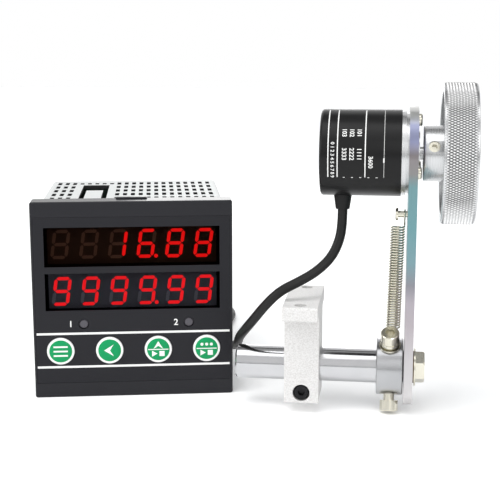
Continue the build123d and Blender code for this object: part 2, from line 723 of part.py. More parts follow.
def arm_plate():
    """A flat link with a round end about each axis and straight sides between them."""
    lean = math.asin((ARM_TOP_R - ARM_FOOT_R) / ARM_L)
    out, up = math.cos(lean), math.sin(lean)
    side = []
    for y in (-1, 1):
        foot = (0, y * ARM_FOOT_R * out, -ARM_FOOT_R * up)
        head = (0, y * ARM_TOP_R * out, ARM_L - ARM_TOP_R * up)
        side.append((foot, head))
    foot_end = ThreePointArc(side[0][0], (0, 0, -ARM_FOOT_R), side[1][0])
    head_end = ThreePointArc(side[0][1], (0, 0, ARM_L + ARM_TOP_R), side[1][1])
    outline = [foot_end, Line(*side[1]), head_end, Line(*side[0])]
    plate = extrude(make_face(outline), ARM_T, dir=(1, 0, 0))
    plate -= cyl_x(BUSH_R + TURN_GAP, -1, ARM_T + 1)
    plate -= cyl_x(BOSS_R + SCREW_GAP, -1, ARM_T + 1, 0, ARM_L)
    for y, z in around_encoder(ENCODER_PCD / 2, SCREW_ANGLE):
        plate -= cyl_x(M3_R + SCREW_GAP, -1, ARM_T + 1, y, z)
    return plate - cyl_x(HOOK_SCREW_R + SCREW_GAP, -1, ARM_T + 1, HOOK_Y, HOOK_UP)


def around_encoder(radius, first):
    """Three places on a circle about the encoder's axis, the first at the angle first."""
    places = []
    for index in range(3):
        turn = math.radians(first + 120 * index)
        places.append((radius * math.cos(turn), ARM_L + radius * math.sin(turn)))
    return places


def hook_screw():
    screw = cyl_x(HOOK_SCREW_R, -HOOK_SCREW_OUT, ARM_T + HOOK_TIP, HOOK_Y, HOOK_UP)
    end = -HOOK_SCREW_OUT - HOOK_HEAD_T
    head = cyl_x(HOOK_HEAD_R, end, -HOOK_SCREW_OUT, HOOK_Y, HOOK_UP)
    head = fillet(head.edges().sort_by(Axis.X)[0:1], HOOK_HEAD_T / 2)
    return screw + head


# The encoder hangs on the arm by its flange, about an axis at height ARM_L.

FLANGE_X = -STEP_T - FLANGE_RING_T
COVER_END_X = FLANGE_X - COVER_L
BOSS_END_X = ARM_T + BOSS_PROUD
RIB_END_X = BOSS_END_X - BEARING_SUNK - BEARING_W
RIB_START_X = RIB_END_X - BEARING_RIB_L
HOUSING_X = RIB_START_X - BEARING_W - BEARING_SUNK
DISC_HUB_X = HOUSING_X - 1
DISC_X = DISC_HUB_X - DISC_HUB_L
DISC_END_X = DISC_X - DISC_T
BOARD_X = DISC_END_X - ENCODER_BOARD_GAP
GLAND_X = COVER_END_X + GLAND_FROM_END
HUB_X = ARM_T + HUB_FROM_ARM
WHEEL_X = ARM_T + WHEEL_FROM_ARM
WHEEL_END_X = WHEEL_X + WHEEL_W
WEB_END_X = WHEEL_END_X - WEB_SUNK
SHAFT_END_X = HUB_X + SHAFT_IN_HUB


def encoder_flange():
    up = ARM_L
    flange = cyl_x(FLANGE_R, FLANGE_X, -STEP_T, 0, up)
    flange += cyl_x(STEP_R, -STEP_T, 0, 0, up)
    flange += cyl_x(BOSS_R, 0, BOSS_END_X, 0, up)
    flange += cyl_x(HOUSING_R, HOUSING_X, FLANGE_X, 0, up)
    rim_r = COVER_R - COVER_WALL - SEAT_GAP
    rim = cyl_x(rim_r, FLANGE_X - SPIGOT_L, FLANGE_X, 0, up)
    flange += rim - cyl_x(rim_r - COVER_WALL, FLANGE_X - SPIGOT_L, FLANGE_X, 0, up)
    for y, z in around_encoder(PILLAR_AT, PILLAR_ANGLE):
        flange += cyl_x(PILLAR_R, BOARD_X, FLANGE_X, y, z)
    seat_r = BEARING_R + SCREW_GAP
    flange -= cyl_x(seat_r, RIB_END_X, BOSS_END_X + 1, 0, up)
    flange -= cyl_x(seat_r, HOUSING_X - 1, RIB_START_X, 0, up)
    flange -= cyl_x(BEARING_RIB_R, RIB_START_X - 1, RIB_END_X + 1, 0, up)
    for y, z in around_encoder(ENCODER_PCD / 2, SCREW_ANGLE):
        flange -= cyl_x(M3_R + SCREW_GAP, FLANGE_X, 1, y, z)
    return flange


def encoder_cover():
    cover = cyl_x(COVER_R, COVER_END_X, FLANGE_X, 0, ARM_L)
    cover = fillet(cover.edges().sort_by(Axis.X)[0:1], COVER_ROUND)
    cover -= cyl_x(COVER_R - COVER_WALL, COVER_END_X + COVER_WALL, FLANGE_X + 1, 0, ARM_L)
    return cover - cyl_z(GLAND_NECK_R + SEAT_GAP, ARM_L - COVER_R - 1, ARM_L - COVER_R / 2, GLAND_X)


def cable_gland():
    """A rubber boot that grows out of the cover and narrows towards the cable."""
    seat = ARM_L - COVER_R
    boot = Pos(GLAND_X, 0, seat - GLAND_L / 2) * Cone(GLAND_TIP_R, GLAND_R, GLAND_L)
    boot += cyl_z(GLAND_R, seat, seat + 1, GLAND_X)
    boot -= cyl_x(COVER_R, COVER_END_X, FLANGE_X, 0, ARM_L)
    return boot + cyl_z(GLAND_NECK_R, seat, seat + COVER_WALL + GLAND_INSIDE, GLAND_X)


def flange_screws():
    screws = []
    for y, z in around_encoder(ENCODER_PCD / 2, SCREW_ANGLE):
        head = cyl_x(M3_HEAD_R, ARM_T, ARM_T + M3_HEAD_T, y, z)
        head = fillet(head.edges().sort_by(Axis.X)[-1:], M3_HEAD_T / 2)
        screws.append(head + cyl_x(M3_R, ARM_T - M3_L, ARM_T, y, z))
    return screws


def encoder_bearings():
    bearings = []
    for x in (RIB_END_X, RIB_START_X - BEARING_W):
        ring = cyl_x(BEARING_R, x, x + BEARING_W, 0, ARM_L)
        bearings.append(ring - cyl_x(SHAFT_R + TURN_GAP, x - 1, x + BEARING_W + 1, 0, ARM_L))
    return bearings


def encoder_board():
    return cyl_x(ENCODER_BOARD_R, BOARD_X - BOARD_T, BOARD_X, 0, ARM_L)


def reader_head():
    """The block that reads the code disc, standing on the encoder's board."""
    z = ARM_L + READ_R
    x1 = DISC_END_X - READ_GAP
    return block(BOARD_X, x1, -READ_H / 2, READ_H / 2, z - READ_W / 2, z + READ_W / 2)


def encoder_shaft():
    shaft = cyl_x(SHAFT_R, DISC_END_X - SHAFT_PAST_DISC, SHAFT_END_X, 0, ARM_L)
    return chamfer(shaft.edges().filter_by(GeomType.CIRCLE), SHAFT_R / 10)


def disc_hub():
    hub = cyl_x(DISC_HUB_R, DISC_X, DISC_HUB_X, 0, ARM_L)
    return hub - cyl_x(SHAFT_R + SCREW_GAP, DISC_X - 1, DISC_HUB_X + 1, 0, ARM_L)


def code_disc():
    disc = cyl_x(DISC_R, DISC_END_X, DISC_X, 0, ARM_L)
    return disc - cyl_x(SHAFT_R + SCREW_GAP, DISC_END_X - 1, DISC_X + 1, 0, ARM_L)


def measuring_wheel():
    rim = cyl_x(WHEEL_R, WHEEL_X, WHEEL_END_X, 0, ARM_L)
    rim = chamfer(rim.edges().filter_by(GeomType.CIRCLE), WHEEL_EDGE)
    web_x = WEB_END_X - WHEEL_WEB
    hollow_r = WHEEL_R - WHEEL_RIM
    rim -= cyl_x(hollow_r, WHEEL_X - 1, web_x, 0, ARM_L)
    rim -= cyl_x(hollow_r, WEB_END_X, WHEEL_END_X + 1, 0, ARM_L)
    hub = cyl_x(HUB_R, HUB_X, web_x + 1, 0, ARM_L)
    wheel = rim + fillet(hub.edges().sort_by(Axis.X)[0:1], HUB_ROUND)
    wheel -= cyl_x(SHAFT_R + SCREW_GAP, HUB_X - 1, SHAFT_END_X + 1, 0, ARM_L)
    for place in set_screw_places():
        wheel -= place * cyl_z(SET_SCREW_R + SCREW_GAP, SHAFT_R - 1, HUB_R + 1)
    return wheel


def set_screw_places():
    places = []
    for angle in SET_SCREW_ANGLES:
        places.append(Pos(HUB_X + SET_SCREW_IN, 0, ARM_L) * Rot(90 - angle, 0, 0))
    return places


def hub_set_screws():
    screws = []
    for place in set_screw_places():
        top = HUB_R - SET_SCREW_SUNK
        screw = cyl_z(SET_SCREW_R, SHAFT_R + SCREW_GAP, top)
        key = Pos(0, 0, top - SET_KEY_DEPTH) * extrude(RegularPolygon(SET_KEY_R, 6), SET_KEY_DEPTH)
        screws.append(place * (screw - key))
    return screws


# Wires and the coil are swept along pairs of arcs between points of known direction.

def two_arcs(start, start_dir, end, end_dir):
    """Two arcs that leave start along start_dir and reach end along end_dir."""
    chord = end - start
    both = start_dir + end_dir
    a = both.dot(both) - 4
    b = -2 * chord.dot(both)
    c = chord.dot(chord)
    same_way = abs(a) < 1e-9
    reach = -c / b if same_way else (-b - math.sqrt(b * b - 4 * a * c)) / (2 * a)
    near, far = start + start_dir * reach, end - end_dir * reach
    middle = (near + far) * 0.5
    first = Edge.make_tangent_arc(start, start_dir, middle)
    second = Edge.make_tangent_arc(middle, far - near, end)
    return [first, second]


def edges_through(knots):
    """Edges through knots of a point and a heading, straight where the headings agree."""
    edges = []
    for (start, start_dir), (end, end_dir) in zip(knots, knots[1:]):
        start_dir, end_dir = start_dir.normalized(), end_dir.normalized()
        ahead = (end - start).normalized().dot(start_dir)
        if min(ahead, start_dir.dot(end_dir)) > 1 - 1e-9:
            edges.append(Edge.make_line(start, end))
        else:
            edges += two_arcs(start, start_dir, end, end_dir)
    return edges


def tube_along(edges, radius):
    """A round tube swept along joined edges."""
    path = Wire(edges)
    section = Plane(origin=path @ 0, z_dir=path % 0) * Circle(radius)
    return sweep(section, path=path)


def ring_knots(centre, across, along, radius, first, last):
    """Knots on a circle from the angle first to last, in steps of about a quarter turn."""
    steps = math.ceil(abs(last - first) / MOST_ARC_TURN)
    knots = []
    for step in range(steps + 1):
        turn = math.radians(first + (last - first) * step / steps)
        point = centre + across * radius * math.cos(turn) + along * radius * math.sin(turn)
        knots.append((point, along * math.cos(turn) - across * math.sin(turn)))
    return knots


def spring_head_x():
    return -(SPRING_R + WIRE_R + SPRING_TO_ARM)


def helix_knot(turn):
    """A knot of the spring's coils, turn degrees round its axis from the x direction."""
    foot_x, foot_y, foot_z = SPRING_FOOT
    first, last = 90, 360 * SPRING_TURNS
    share = (turn - first) / (last - first)
    angle = math.radians(turn)
    climb = SPRING_PITCH / (2 * math.pi)
    drift_x = (spring_head_x() - foot_x) / math.radians(last - first)
    drift_y = (HOOK_Y - foot_y) / math.radians(last - first)
    x = foot_x + (spring_head_x() - foot_x) * share + SPRING_R * math.cos(angle)
    y = foot_y + (HOOK_Y - foot_y) * share + SPRING_R * math.sin(angle)
    z = foot_z + climb * math.radians(turn - first)
    heading_x = drift_x - SPRING_R * math.sin(angle)
    heading_y = drift_y + SPRING_R * math.cos(angle)
    return Vector(x, y, z), Vector(heading_x, heading_y, climb)


def spring_edges():
    """The spring's wire: a loop round the collar's screw, the coils, a loop on the hook screw."""
    tilt = math.radians(UPPER_SCREW_TILT)
    seat = LOOP_SEAT + LOOP_T / 2
    x_dir, y_dir, z_dir = Vector(1, 0, 0), Vector(0, 1, 0), Vector(0, 0, 1)
    back = Vector(0, math.cos(tilt), math.sin(tilt))
    low = Vector(COLLAR_X, -seat * math.sin(tilt), seat * math.cos(tilt))
    knots = ring_knots(low, x_dir, back, LOWER_LOOP_R, -LOWER_LOOP_WRAP, 0)
    point, heading = knots[0]
    knots.insert(0, (point - heading * 2 * WIRE_R, heading))
    point, heading = knots[-1]
    knots.append((point + heading * LOWER_LOOP_EXIT, heading))
    turns = [90] + [180 * half for half in range(1, 2 * SPRING_TURNS + 1)]
    knots += [helix_knot(turn) for turn in turns]
    drop = UPPER_LOOP_R - WIRE_R - HOOK_SCREW_R - SLIDE_GAP
    high = Vector(spring_head_x() + SPRING_R, HOOK_Y, HOOK_UP - drop)
    knots += ring_knots(high, y_dir, z_dir, UPPER_LOOP_R, 0, UPPER_LOOP_WRAP)
    point, heading = knots[-1]
    knots.append((point + heading * 2 * WIRE_R, heading))
    return edges_through(knots)


def coil_knot(turns):
    """A knot of the cable's coil, counted in turns from the middle of its climb."""
    inner_r = COIL_MID_R - COIL_PITCH * COIL_TURNS / 2
    radius = inner_r + COIL_PITCH * abs(turns)
    angle = math.radians(90 + 360 * turns)
    out_x, out_y = math.cos(angle), math.sin(angle)
    share = min(max(turns + 0.25, 0), 0.5) / 0.5
    spread = COIL_PITCH * (turns > 0) - COIL_PITCH * (turns < 0)
    at_end = abs(turns) > COIL_TURNS + 0.2
    spread = 0 if at_end else spread
    climb = 4 * COIL_PITCH if turns == 0 else 0
    z = CABLE_Z + COIL_PITCH * share
    point = Vector(COIL_AT[0] + radius * out_x, COIL_AT[1] + radius * out_y, z)
    round_rate = 2 * math.pi * radius
    heading = Vector(spread * out_x - round_rate * out_y, spread * out_y + round_rate * out_x, climb)
    return point, heading.normalized()


def coil_edges():
    """Two layers of turns: winding inwards below, up at the middle, and outwards above."""
    quarters = 4 * COIL_TURNS + 1
    knots = [coil_knot(quarter / 4) for quarter in range(-quarters, quarters + 1)]
    point, heading = knots[0]
    knots.insert(0, (point - heading * 2 * CABLE_R, heading))
    point, heading = knots[-1]
    knots.append((point + heading * 2 * CABLE_R, heading))
    return edges_through(knots)


def coil_end(last):
    """The coil's first or last point, past its straight end, with its heading."""
    turns = COIL_TURNS + 0.25
    point, heading = coil_knot(turns if last else -turns)
    return point + heading * 2 * CABLE_R * (1 if last else -1), heading


def turned(x, y, z):
    """A point of the counter's own frame, where the counter stands."""
    turn = math.radians(COUNTER_TURN)
    world_x = COUNTER_AT[0] + x * math.cos(turn) - y * math.sin(turn)
    world_y = COUNTER_AT[1] + x * math.sin(turn) + y * math.cos(turn)
    return Vector(world_x, world_y, z)


# The cable's free run, from the encoder's gland down behind the counter to the coil
CABLE_START = Vector(GLAND_X, 0, ROD_Z + ARM_L - COVER_R - GLAND_L)
COIL_START = coil_end(False)[0]
CABLE_POINTS = [
    CABLE_START,
    Vector(-29.5, 0.0, 88.6),
    Vector(-30.6, -0.8, 80.6),
    Vector(-34.2, -2.6, 72.6),
    Vector(-41.0, -6.0, 66.4),
    Vector(-48.6, -9.6, 62.4),
    Vector(-57.0, -12.0, 58.4),
    Vector(-64.2, -10.2, 50.8),
    Vector(-70.0, -5.0, 42.8),
    Vector(-75.2, 2.8, 35.6),
    Vector(-79.2, 13.0, 29.4),
    Vector(-81.4, 25.0, 23.6),
    Vector(-84.2, 38.0, 18.4),
    Vector(-88.0, 54.0, 13.4),
    Vector(-92.4, 72.0, 8.8),
    Vector(-96.6, 90.0, 5.4),
    Vector(-100.0, 104.0, 3.4),
    Vector(-102.4, 117.0, CABLE_Z),
    COIL_START - Vector(0, COIL_APPROACH, 0),
    COIL_START,
]
UPPER_POINT_COUNT = 12

# The tail, from the coil to the sleeve that its wires leave
SLEEVE_Z = CABLE_Z + COIL_PITCH
SLEEVE_FRONT_Y = STRIP_END_Y + SLEEVE_BACK
SLEEVE_REAR_Y = SLEEVE_FRONT_Y + SLEEVE_L
TAIL_START = coil_end(True)[0]
TAIL_POINTS = [
    TAIL_START,
    TAIL_START - Vector(0, TAIL_STRAIGHT, 0),
    turned(SLEEVE_X, SLEEVE_REAR_Y + TAIL_STRAIGHT, SLEEVE_Z),
    turned(SLEEVE_X, SLEEVE_REAR_Y, SLEEVE_Z),
]


def corner_radii(points):
    radii = []
    for before, corner, after in zip(points, points[1:], points[2:]):
        half_turn = math.radians((corner - before).get_angle(after - corner)) / 2
        run = min((corner - before).length, (after - corner).length)
        radii.append(0.45 * run / math.tan(half_turn))
    return radii


def cable_piece(name, points, radii):
    """A stretch of cable as straight runs and arcs, with a check of its volume."""
    path = FilletPolyline(*points, radius=radii)
    piece = tube_along(path.edges(), CABLE_R)
    length = sum(edge.length for edge in path.edges())
    drawn = math.pi * CABLE_R ** 2 * length
    print(name, "length", round(length, 1), "volume ratio", round(piece.volume / drawn, 4))
    print(name, "radii", [round(radius, 1) for radius in radii])
    return piece


def free_cable():
    radii = corner_radii(CABLE_POINTS)
    count = UPPER_POINT_COUNT
    split = (CABLE_POINTS[count - 1] + CABLE_POINTS[count]) * 0.5
    upper = CABLE_POINTS[:count] + [split]
    lower = [split] + CABLE_POINTS[count:]
    upper_piece = cable_piece("cable_upper", upper, radii[:count - 1])
    return upper_piece, cable_piece("cable_lower", lower, radii[count - 1:])


def cable_tie():
    """A flat strap round the coil, where its turns lie two by two."""
    half = COIL_PITCH / 2 + CABLE_R
    side, face = half + TIE_SIDE_GAP, half + TIE_FACE_GAP
    strap = Box(2 * (side + TIE_T), TIE_W, 2 * (face + TIE_T))
    strap = fillet(strap.edges().filter_by(Axis.Y), CABLE_R)
    hole = Box(2 * side, TIE_W + 1, 2 * face)
    strap -= fillet(hole.edges().filter_by(Axis.Y), CABLE_R - TIE_T)
    middle = Pos(COIL_AT[0], COIL_AT[1], CABLE_Z + COIL_PITCH / 2) * Rot(0, 0, TIE_TURN)
    return middle * Pos(COIL_MID_R, 0, 0) * strap


def cable_sleeve():
    return cyl_y(SLEEVE_R, SLEEVE_FRONT_Y, SLEEVE_REAR_Y, SLEEVE_X, SLEEVE_Z)


def lead_wires():
    """The cable's wires, from the sleeve into the terminals of the lower strip."""
    ahead = Vector(0, -1, 0)
    starts = []
    for index in range(LEADS):
        turn = math.radians(90 + 360 / LEADS * index)
        x, z = SLEEVE_X + LEAD_RING_R * math.cos(turn), SLEEVE_Z + LEAD_RING_R * math.sin(turn)
        starts.append(Vector(x, SLEEVE_FRONT_Y, z))
    starts.sort(key=lambda point: point.X)
    wires = []
    middle = round(SLEEVE_X / TERMINAL_PITCH) + (TERMINALS - 1) // 2
    for index, start in enumerate(starts):
        x = terminal_x(middle - LEADS // 2 + index)
        z = STRIP_Z[0] + ENTRY_UP
        mouth = Vector(x, STRIP_END_Y + LEAD_STRAIGHT, z)
        bottom = Vector(x, STRIP_END_Y - ENTRY_DEPTH, z)
        edges = edges_through([(start, ahead), (mouth, ahead), (bottom, ahead)])
        wires.append(tube_along(edges, LEAD_R))
    return wires


def least_gap(edges, radius):
    """The least space between a tube and itself, measured on points along its path."""
    points = []
    for edge in edges:
        steps = max(2, math.ceil(edge.length / (radius * 0.6)))
        points += [edge.position_at(step / steps) for step in range(steps)]
    along = [0.0]
    for before, after in zip(points, points[1:]):
        along.append(along[-1] + (after - before).length)
    spots = [(point.X, point.Y, point.Z) for point in points]
    least = math.inf
    for index, spot in enumerate(spots):
        for other in range(index + 1, len(spots)):
            apart = along[other] - along[index] > 4 * math.pi * radius
            if apart and abs(spots[other][2] - spot[2]) < 4 * radius:
                least = min(least, math.dist(spot, spots[other]))
    return least - 2 * radius


counter = Pos(COUNTER_AT[0], COUNTER_AT[1], 0) * Rot(0, 0, COUNTER_TURN)
unit = Pos(0, 0, ROD_Z)
floor = Pos(0, 0, 0)

nodes = {
    "front_bezel": (counter, front_bezel()),
    "front_overlay": (counter, front_overlay()),
    "upper_window": (counter, display_window(UPPER_WINDOW_Z, UPPER_WINDOW_H)),
    "lower_window": (counter, display_window(LOWER_WINDOW_Z, LOWER_WINDOW_H)),
    "count_display": (counter, digit_block(UPPER_WINDOW_Z)),
    "preset_display": (counter, digit_block(LOWER_WINDOW_Z)),
    "key_switches": (counter, key_switches()),
    "indicator_lamps": (counter, indicator_lamps()),
    "display_board": (counter, display_board()),
    "case_shell": (counter, case_shell()),
    "rear_panel": (counter, rear_panel()),
    "terminal_strips": (counter, terminal_strips()),
    "terminal_screws": (counter, terminal_screws()),
    "terminal_board": (counter, terminal_board()),
    "main_board": (counter, main_board()),
    "board_headers": (counter, board_headers()),
    "transformer": (counter, transformer()),
    "output_relays": (counter, output_relays()),
    "capacitors": (counter, capacitors()),
    "controller_chip": (counter, controller_chip()),
    "support_rod": (unit, support_rod()),
    "clamp_block": (unit, clamp_block()),
    "clamp_screw": (unit, clamp_screw()),
    "tension_collar": (unit, tension_collar()),
    "collar_screws": (unit, collar_screws()),
    "collar_washers": (unit, collar_washers()),
    "pivot_bush": (unit, pivot_bush()),
    "pivot_washer": (unit, pivot_washer()),
    "pivot_bolt": (unit, pivot_bolt()),
    "arm_plate": (unit, arm_plate()),
    "hook_screw": (unit, hook_screw()),
    "encoder_flange": (unit, encoder_flange()),
    "encoder_cover": (unit, encoder_cover()),
    "cable_gland": (unit, cable_gland()),
    "flange_screws": (unit, flange_screws()),
    "encoder_bearings": (unit, encoder_bearings()),
    "encoder_board": (unit, encoder_board()),
    "reader_head": (unit, reader_head()),
    "encoder_shaft": (unit, encoder_shaft()),
    "disc_hub": (unit, disc_hub()),
    "code_disc": (unit, code_disc()),
    "measuring_wheel": (unit, measuring_wheel()),
    "hub_set_screws": (unit, hub_set_screws()),
}
for index, name in enumerate(KEY_NAMES):
    nodes[name] = (counter, key_cap(index))

spring_path = spring_edges()
nodes["tension_spring"] = (unit, tube_along(spring_path, WIRE_R))
coil_path = coil_edges()
upper_cable, lower_cable = free_cable()
cord_nodes = {
    "cable_upper": (floor, upper_cable),
    "cable_lower": (floor, lower_cable),
    "cable_coil": (floor, tube_along(coil_path, CABLE_R)),
    "cable_tail": (floor, cable_piece("cable_tail", TAIL_POINTS, corner_radii(TAIL_POINTS))),
    "cable_tie": (floor, cable_tie()),
    "cable_sleeve": (counter, cable_sleeve()),
    "lead_wires": (counter, lead_wires()),
}


def placed(place, shape):
    solids = []
    for piece in shape if isinstance(shape, list) else [shape]:
        solids += (place * piece).solids()
    return solids[0] if len(solids) == 1 else Compound(children=solids)


# The part's origin is on the floor, under the middle of the object without its cable.
body_box = Compound(children=[placed(*node) for node in nodes.values()]).bounding_box()
middle = body_box.center()
centred = Pos(-middle.X, -middle.Y, 0)

os.makedirs("parts", exist_ok=True)
for name, (place, shape) in (nodes | cord_nodes).items():
    export_step(placed(centred * place, shape), f"parts/{name}.step")

print("spring least gap", round(least_gap(spring_path, WIRE_R), 3))
print("coil least gap", round(least_gap(coil_path, CABLE_R), 3))
print("coil length", round(sum(edge.length for edge in coil_path), 1))
print("rod height", round(ROD_Z, 3), "origin shift", round(middle.X, 3), round(middle.Y, 3))
print("lowest point", round(body_box.min.Z, 4), "size", body_box.size)
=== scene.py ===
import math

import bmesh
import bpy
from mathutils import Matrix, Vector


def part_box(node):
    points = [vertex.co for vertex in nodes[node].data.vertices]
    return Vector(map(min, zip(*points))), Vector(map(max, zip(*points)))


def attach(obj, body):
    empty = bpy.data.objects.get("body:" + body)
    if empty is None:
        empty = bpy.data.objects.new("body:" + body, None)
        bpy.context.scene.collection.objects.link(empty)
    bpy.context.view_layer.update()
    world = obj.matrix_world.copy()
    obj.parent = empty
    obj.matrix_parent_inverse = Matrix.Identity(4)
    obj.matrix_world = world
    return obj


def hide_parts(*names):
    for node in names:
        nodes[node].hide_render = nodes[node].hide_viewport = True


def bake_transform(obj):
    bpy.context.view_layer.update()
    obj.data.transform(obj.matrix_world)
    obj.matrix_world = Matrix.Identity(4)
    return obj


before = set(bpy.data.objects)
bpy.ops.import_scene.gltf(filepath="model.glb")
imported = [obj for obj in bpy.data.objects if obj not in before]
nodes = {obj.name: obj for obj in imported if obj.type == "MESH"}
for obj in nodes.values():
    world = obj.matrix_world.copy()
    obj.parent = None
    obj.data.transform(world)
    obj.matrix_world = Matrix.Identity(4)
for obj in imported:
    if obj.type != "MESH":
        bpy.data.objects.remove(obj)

# %% [markdown]
# # An electronic length counter
# The real thing is a panel counter with red digits, wired to a knurled wheel that rolls on
# cloth or wire and measures it. The CAD model gives every solid in metres, at rest, with z
# up from the floor. It could be drawn again here, but then the two would drift apart, so
# this script only dresses it: places are written in the drawing's millimetres and turned
# into the scene's metres by two small functions.

MM = 0.001

# The arm's near face is x 0 and the rod's axis y 0 in the drawing of the wheel unit.
ARM_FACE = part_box("arm_plate")[0].x
ROD_LOW, ROD_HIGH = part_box("support_rod")
ROD_AXIS = (ROD_LOW + ROD_HIGH) / 2
WHEEL_LOW, WHEEL_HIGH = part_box("measuring_wheel")
WHEEL_AXIS = (WHEEL_LOW + WHEEL_HIGH) / 2
COUNTER_AT = (-129.8, 5.4)
COUNTER_TURN = math.radians(12.0)


def spot(x, y, z):
    """A point of the wheel unit's drawing, in millimetres, as a place in the scene."""
    return Vector((ARM_FACE + x * MM, ROD_AXIS.y + y * MM, z * MM))


# The counter is drawn about its own front: x across, y into the case, z up.
TO_COUNTER = Matrix.Translation(spot(*COUNTER_AT, 0)) @ Matrix.Rotation(COUNTER_TURN, 4, "Z")


def counter_spot(x, y, z):
    """A point of the counter's drawing, in millimetres, as a place in the scene."""
    return TO_COUNTER @ (Vector((x, y, z)) * MM)


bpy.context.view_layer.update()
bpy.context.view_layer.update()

# %% [markdown]
# ## Camera
# The photograph is taken from just above the object, a little from the right. A camera
# could be nudged by eye. Here the lens and place come from fitting the drawing's edges to
# the photograph's: the counter's face, the wheel's rims, the rod.

# %% Camera
SENSOR_W = 36.0
LENS = 82.8
CAMERA_AT = (-6.0, -523.0, 175.5)
CAMERA_PAN = math.radians(7.23)
CAMERA_DOWN = math.radians(10.81)

camera_data = bpy.data.cameras.new("camera")
camera_data.sensor_width = SENSOR_W
camera_data.lens = LENS
camera_data.clip_start, camera_data.clip_end = 0.01, 20


def linked(name, data):
    """A new object in the scene that shows the data."""
    thing = bpy.data.objects.new(name, data)
    bpy.context.scene.collection.objects.link(thing)
    return thing


def aim(thing, direction):
    """Turn a camera or a lamp so that it looks in a direction."""
    thing.rotation_mode = "QUATERNION"
    thing.rotation_quaternion = direction.to_track_quat("-Z", "Y")


camera = linked("camera", camera_data)
level = math.cos(CAMERA_DOWN)
gaze = (-math.sin(CAMERA_PAN) * level, math.cos(CAMERA_PAN) * level, -math.sin(CAMERA_DOWN))
camera.location = spot(*CAMERA_AT)
aim(camera, Vector(gaze))
bpy.context.scene.camera = camera
print("camera at", [round(value, 3) for value in camera.location], "lens", LENS, "mm")

# %% [markdown]
# ## Making meshes
# The prints, signs and digits are thin flat shapes. They could be images on the face, but
# an image has no edge that catches light and blurs close up. So each is a real mesh with
# its place in its points, which turns and slides with the CAD body that it rides on.

# %% Mesh helpers
def as_object(name, mesh, body, materials):
    """A mesh as a piece of the part, with its body and its finishes."""
    piece = linked(name, mesh)
    for material in materials:
        mesh.materials.append(material)
    if body:
        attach(piece, body)
    return piece


def baked(name, shape):
    """A shape that is done, as a mesh."""
    mesh = bpy.data.meshes.new(name)
    shape.to_mesh(mesh)
    shape.free()
    return mesh


def join_rings(shape, rings):
    """Faces from each closed ring of points to the next."""
    for low, high in zip(rings, rings[1:]):
        for index in range(len(low)):
            after = (index + 1) % len(low)
            shape.faces.new((low[index], low[after], high[after], high[index]))


def prisms(name, outlines, y_front, y_back):
    """Flat outlines on the counter's face, lists of (x, z), as thin prisms in one mesh."""
    shape = bmesh.new()
    for outline in outlines:
        front = [shape.verts.new(counter_spot(x, y_front, z)) for x, z in outline]
        back = [shape.verts.new(counter_spot(x, y_back, z)) for x, z in outline]
        shape.faces.new(front)
        shape.faces.new(back[::-1])
        join_rings(shape, [back, front])
    bmesh.ops.recalc_face_normals(shape, faces=shape.faces)
    return baked(name, shape)


def circle(x, z, radius, steps=48):
    """A round outline on the counter's face."""
    turns = [2 * math.pi * step / steps for step in range(steps)]
    return [(x + radius * math.cos(turn), z + radius * math.sin(turn)) for turn in turns]


def bar(x0, x1, z0, z1):
    """A square-cornered outline on the counter's face."""
    return [(x0, z0), (x1, z0), (x1, z1), (x0, z1)]


def shade_smooth(piece, angle=40):
    """Smooth shading, with edges sharper than the angle left sharp."""
    for polygon in piece.data.polygons:
        polygon.use_smooth = True
    piece.data.set_sharp_from_angle(angle=math.radians(angle))


# %% [markdown]
# ## Nodes
# Finishes, grown pieces and the sky are all networks of nodes. They could be wired by
# hand in the editor, but a script can be read, repeated and measured. One function adds
# any node to any of them, with its settings and its links.

# %% The node helper
def add_node(owner, kind, inputs=None, **settings):
    """Add a node to a tree, a material or a world, and set or link its inputs."""
    tree = getattr(owner, "node_tree", owner)
    node = tree.nodes.new(kind)
    for key, value in settings.items():
        setattr(node, key, value)
    for key, value in (inputs or {}).items():
        if isinstance(value, bpy.types.Node):
            value = value.outputs[0]
        if isinstance(value, bpy.types.NodeSocket):
            tree.links.new(value, node.inputs[key])
        else:
            node.inputs[key].default_value = value
    return node


# %% [markdown]
# ## Pieces grown by a rule
# The cable follows a path and the knurling repeats 1600 times. Both could be modelled
# piece by piece, but a rule keeps every turn and every row alike, and its sizes can be
# changed. Each is a small tree of Geometry Nodes with named sizes. Its result is turned
# into a plain mesh, so the piece can be posed and exported.

# %% Geometry Nodes helpers
def new_tree(name, sizes):
    """An empty tree that takes a geometry and named sizes, and gives a geometry."""
    tree = bpy.data.node_groups.new(name, "GeometryNodeTree")
    tree.interface.new_socket("Geometry", in_out="INPUT", socket_type="NodeSocketGeometry")
    for size, kind in sizes.items():
        tree.interface.new_socket(size, in_out="INPUT", socket_type=kind)
    tree.interface.new_socket("Geometry", in_out="OUTPUT", socket_type="NodeSocketGeometry")
    return tree


def closed_tree(tree, geometry, material):
    """The end of every tree: real geometry instead of instances, and its finish."""
    real = add_node(tree, "GeometryNodeRealizeInstances", {"Geometry": geometry})
    coat = add_node(tree, "GeometryNodeSetMaterial", {"Geometry": real, "Material": material})
    add_node(tree, "NodeGroupOutput", {"Geometry": coat})
    return tree


def grown(name, holder, tree, sizes):
    """What the tree makes of the holder object, as a plain mesh."""
    bpy.context.scene.collection.objects.link(holder)
    modifier = holder.modifiers.new("shape", "NODES")
    modifier.node_group = tree
    for item in tree.interface.items_tree:
        if item.in_out == "INPUT" and item.name in sizes:
            modifier[item.identifier] = sizes[item.name]
    depsgraph = bpy.context.evaluated_depsgraph_get()
    evaluated = holder.evaluated_get(depsgraph)
    mesh = bpy.data.meshes.new_from_object(evaluated, depsgraph=depsgraph)
    mesh.name = name
    bpy.data.objects.remove(holder)
    print(name, len(mesh.polygons), "faces from nodes")
    return mesh


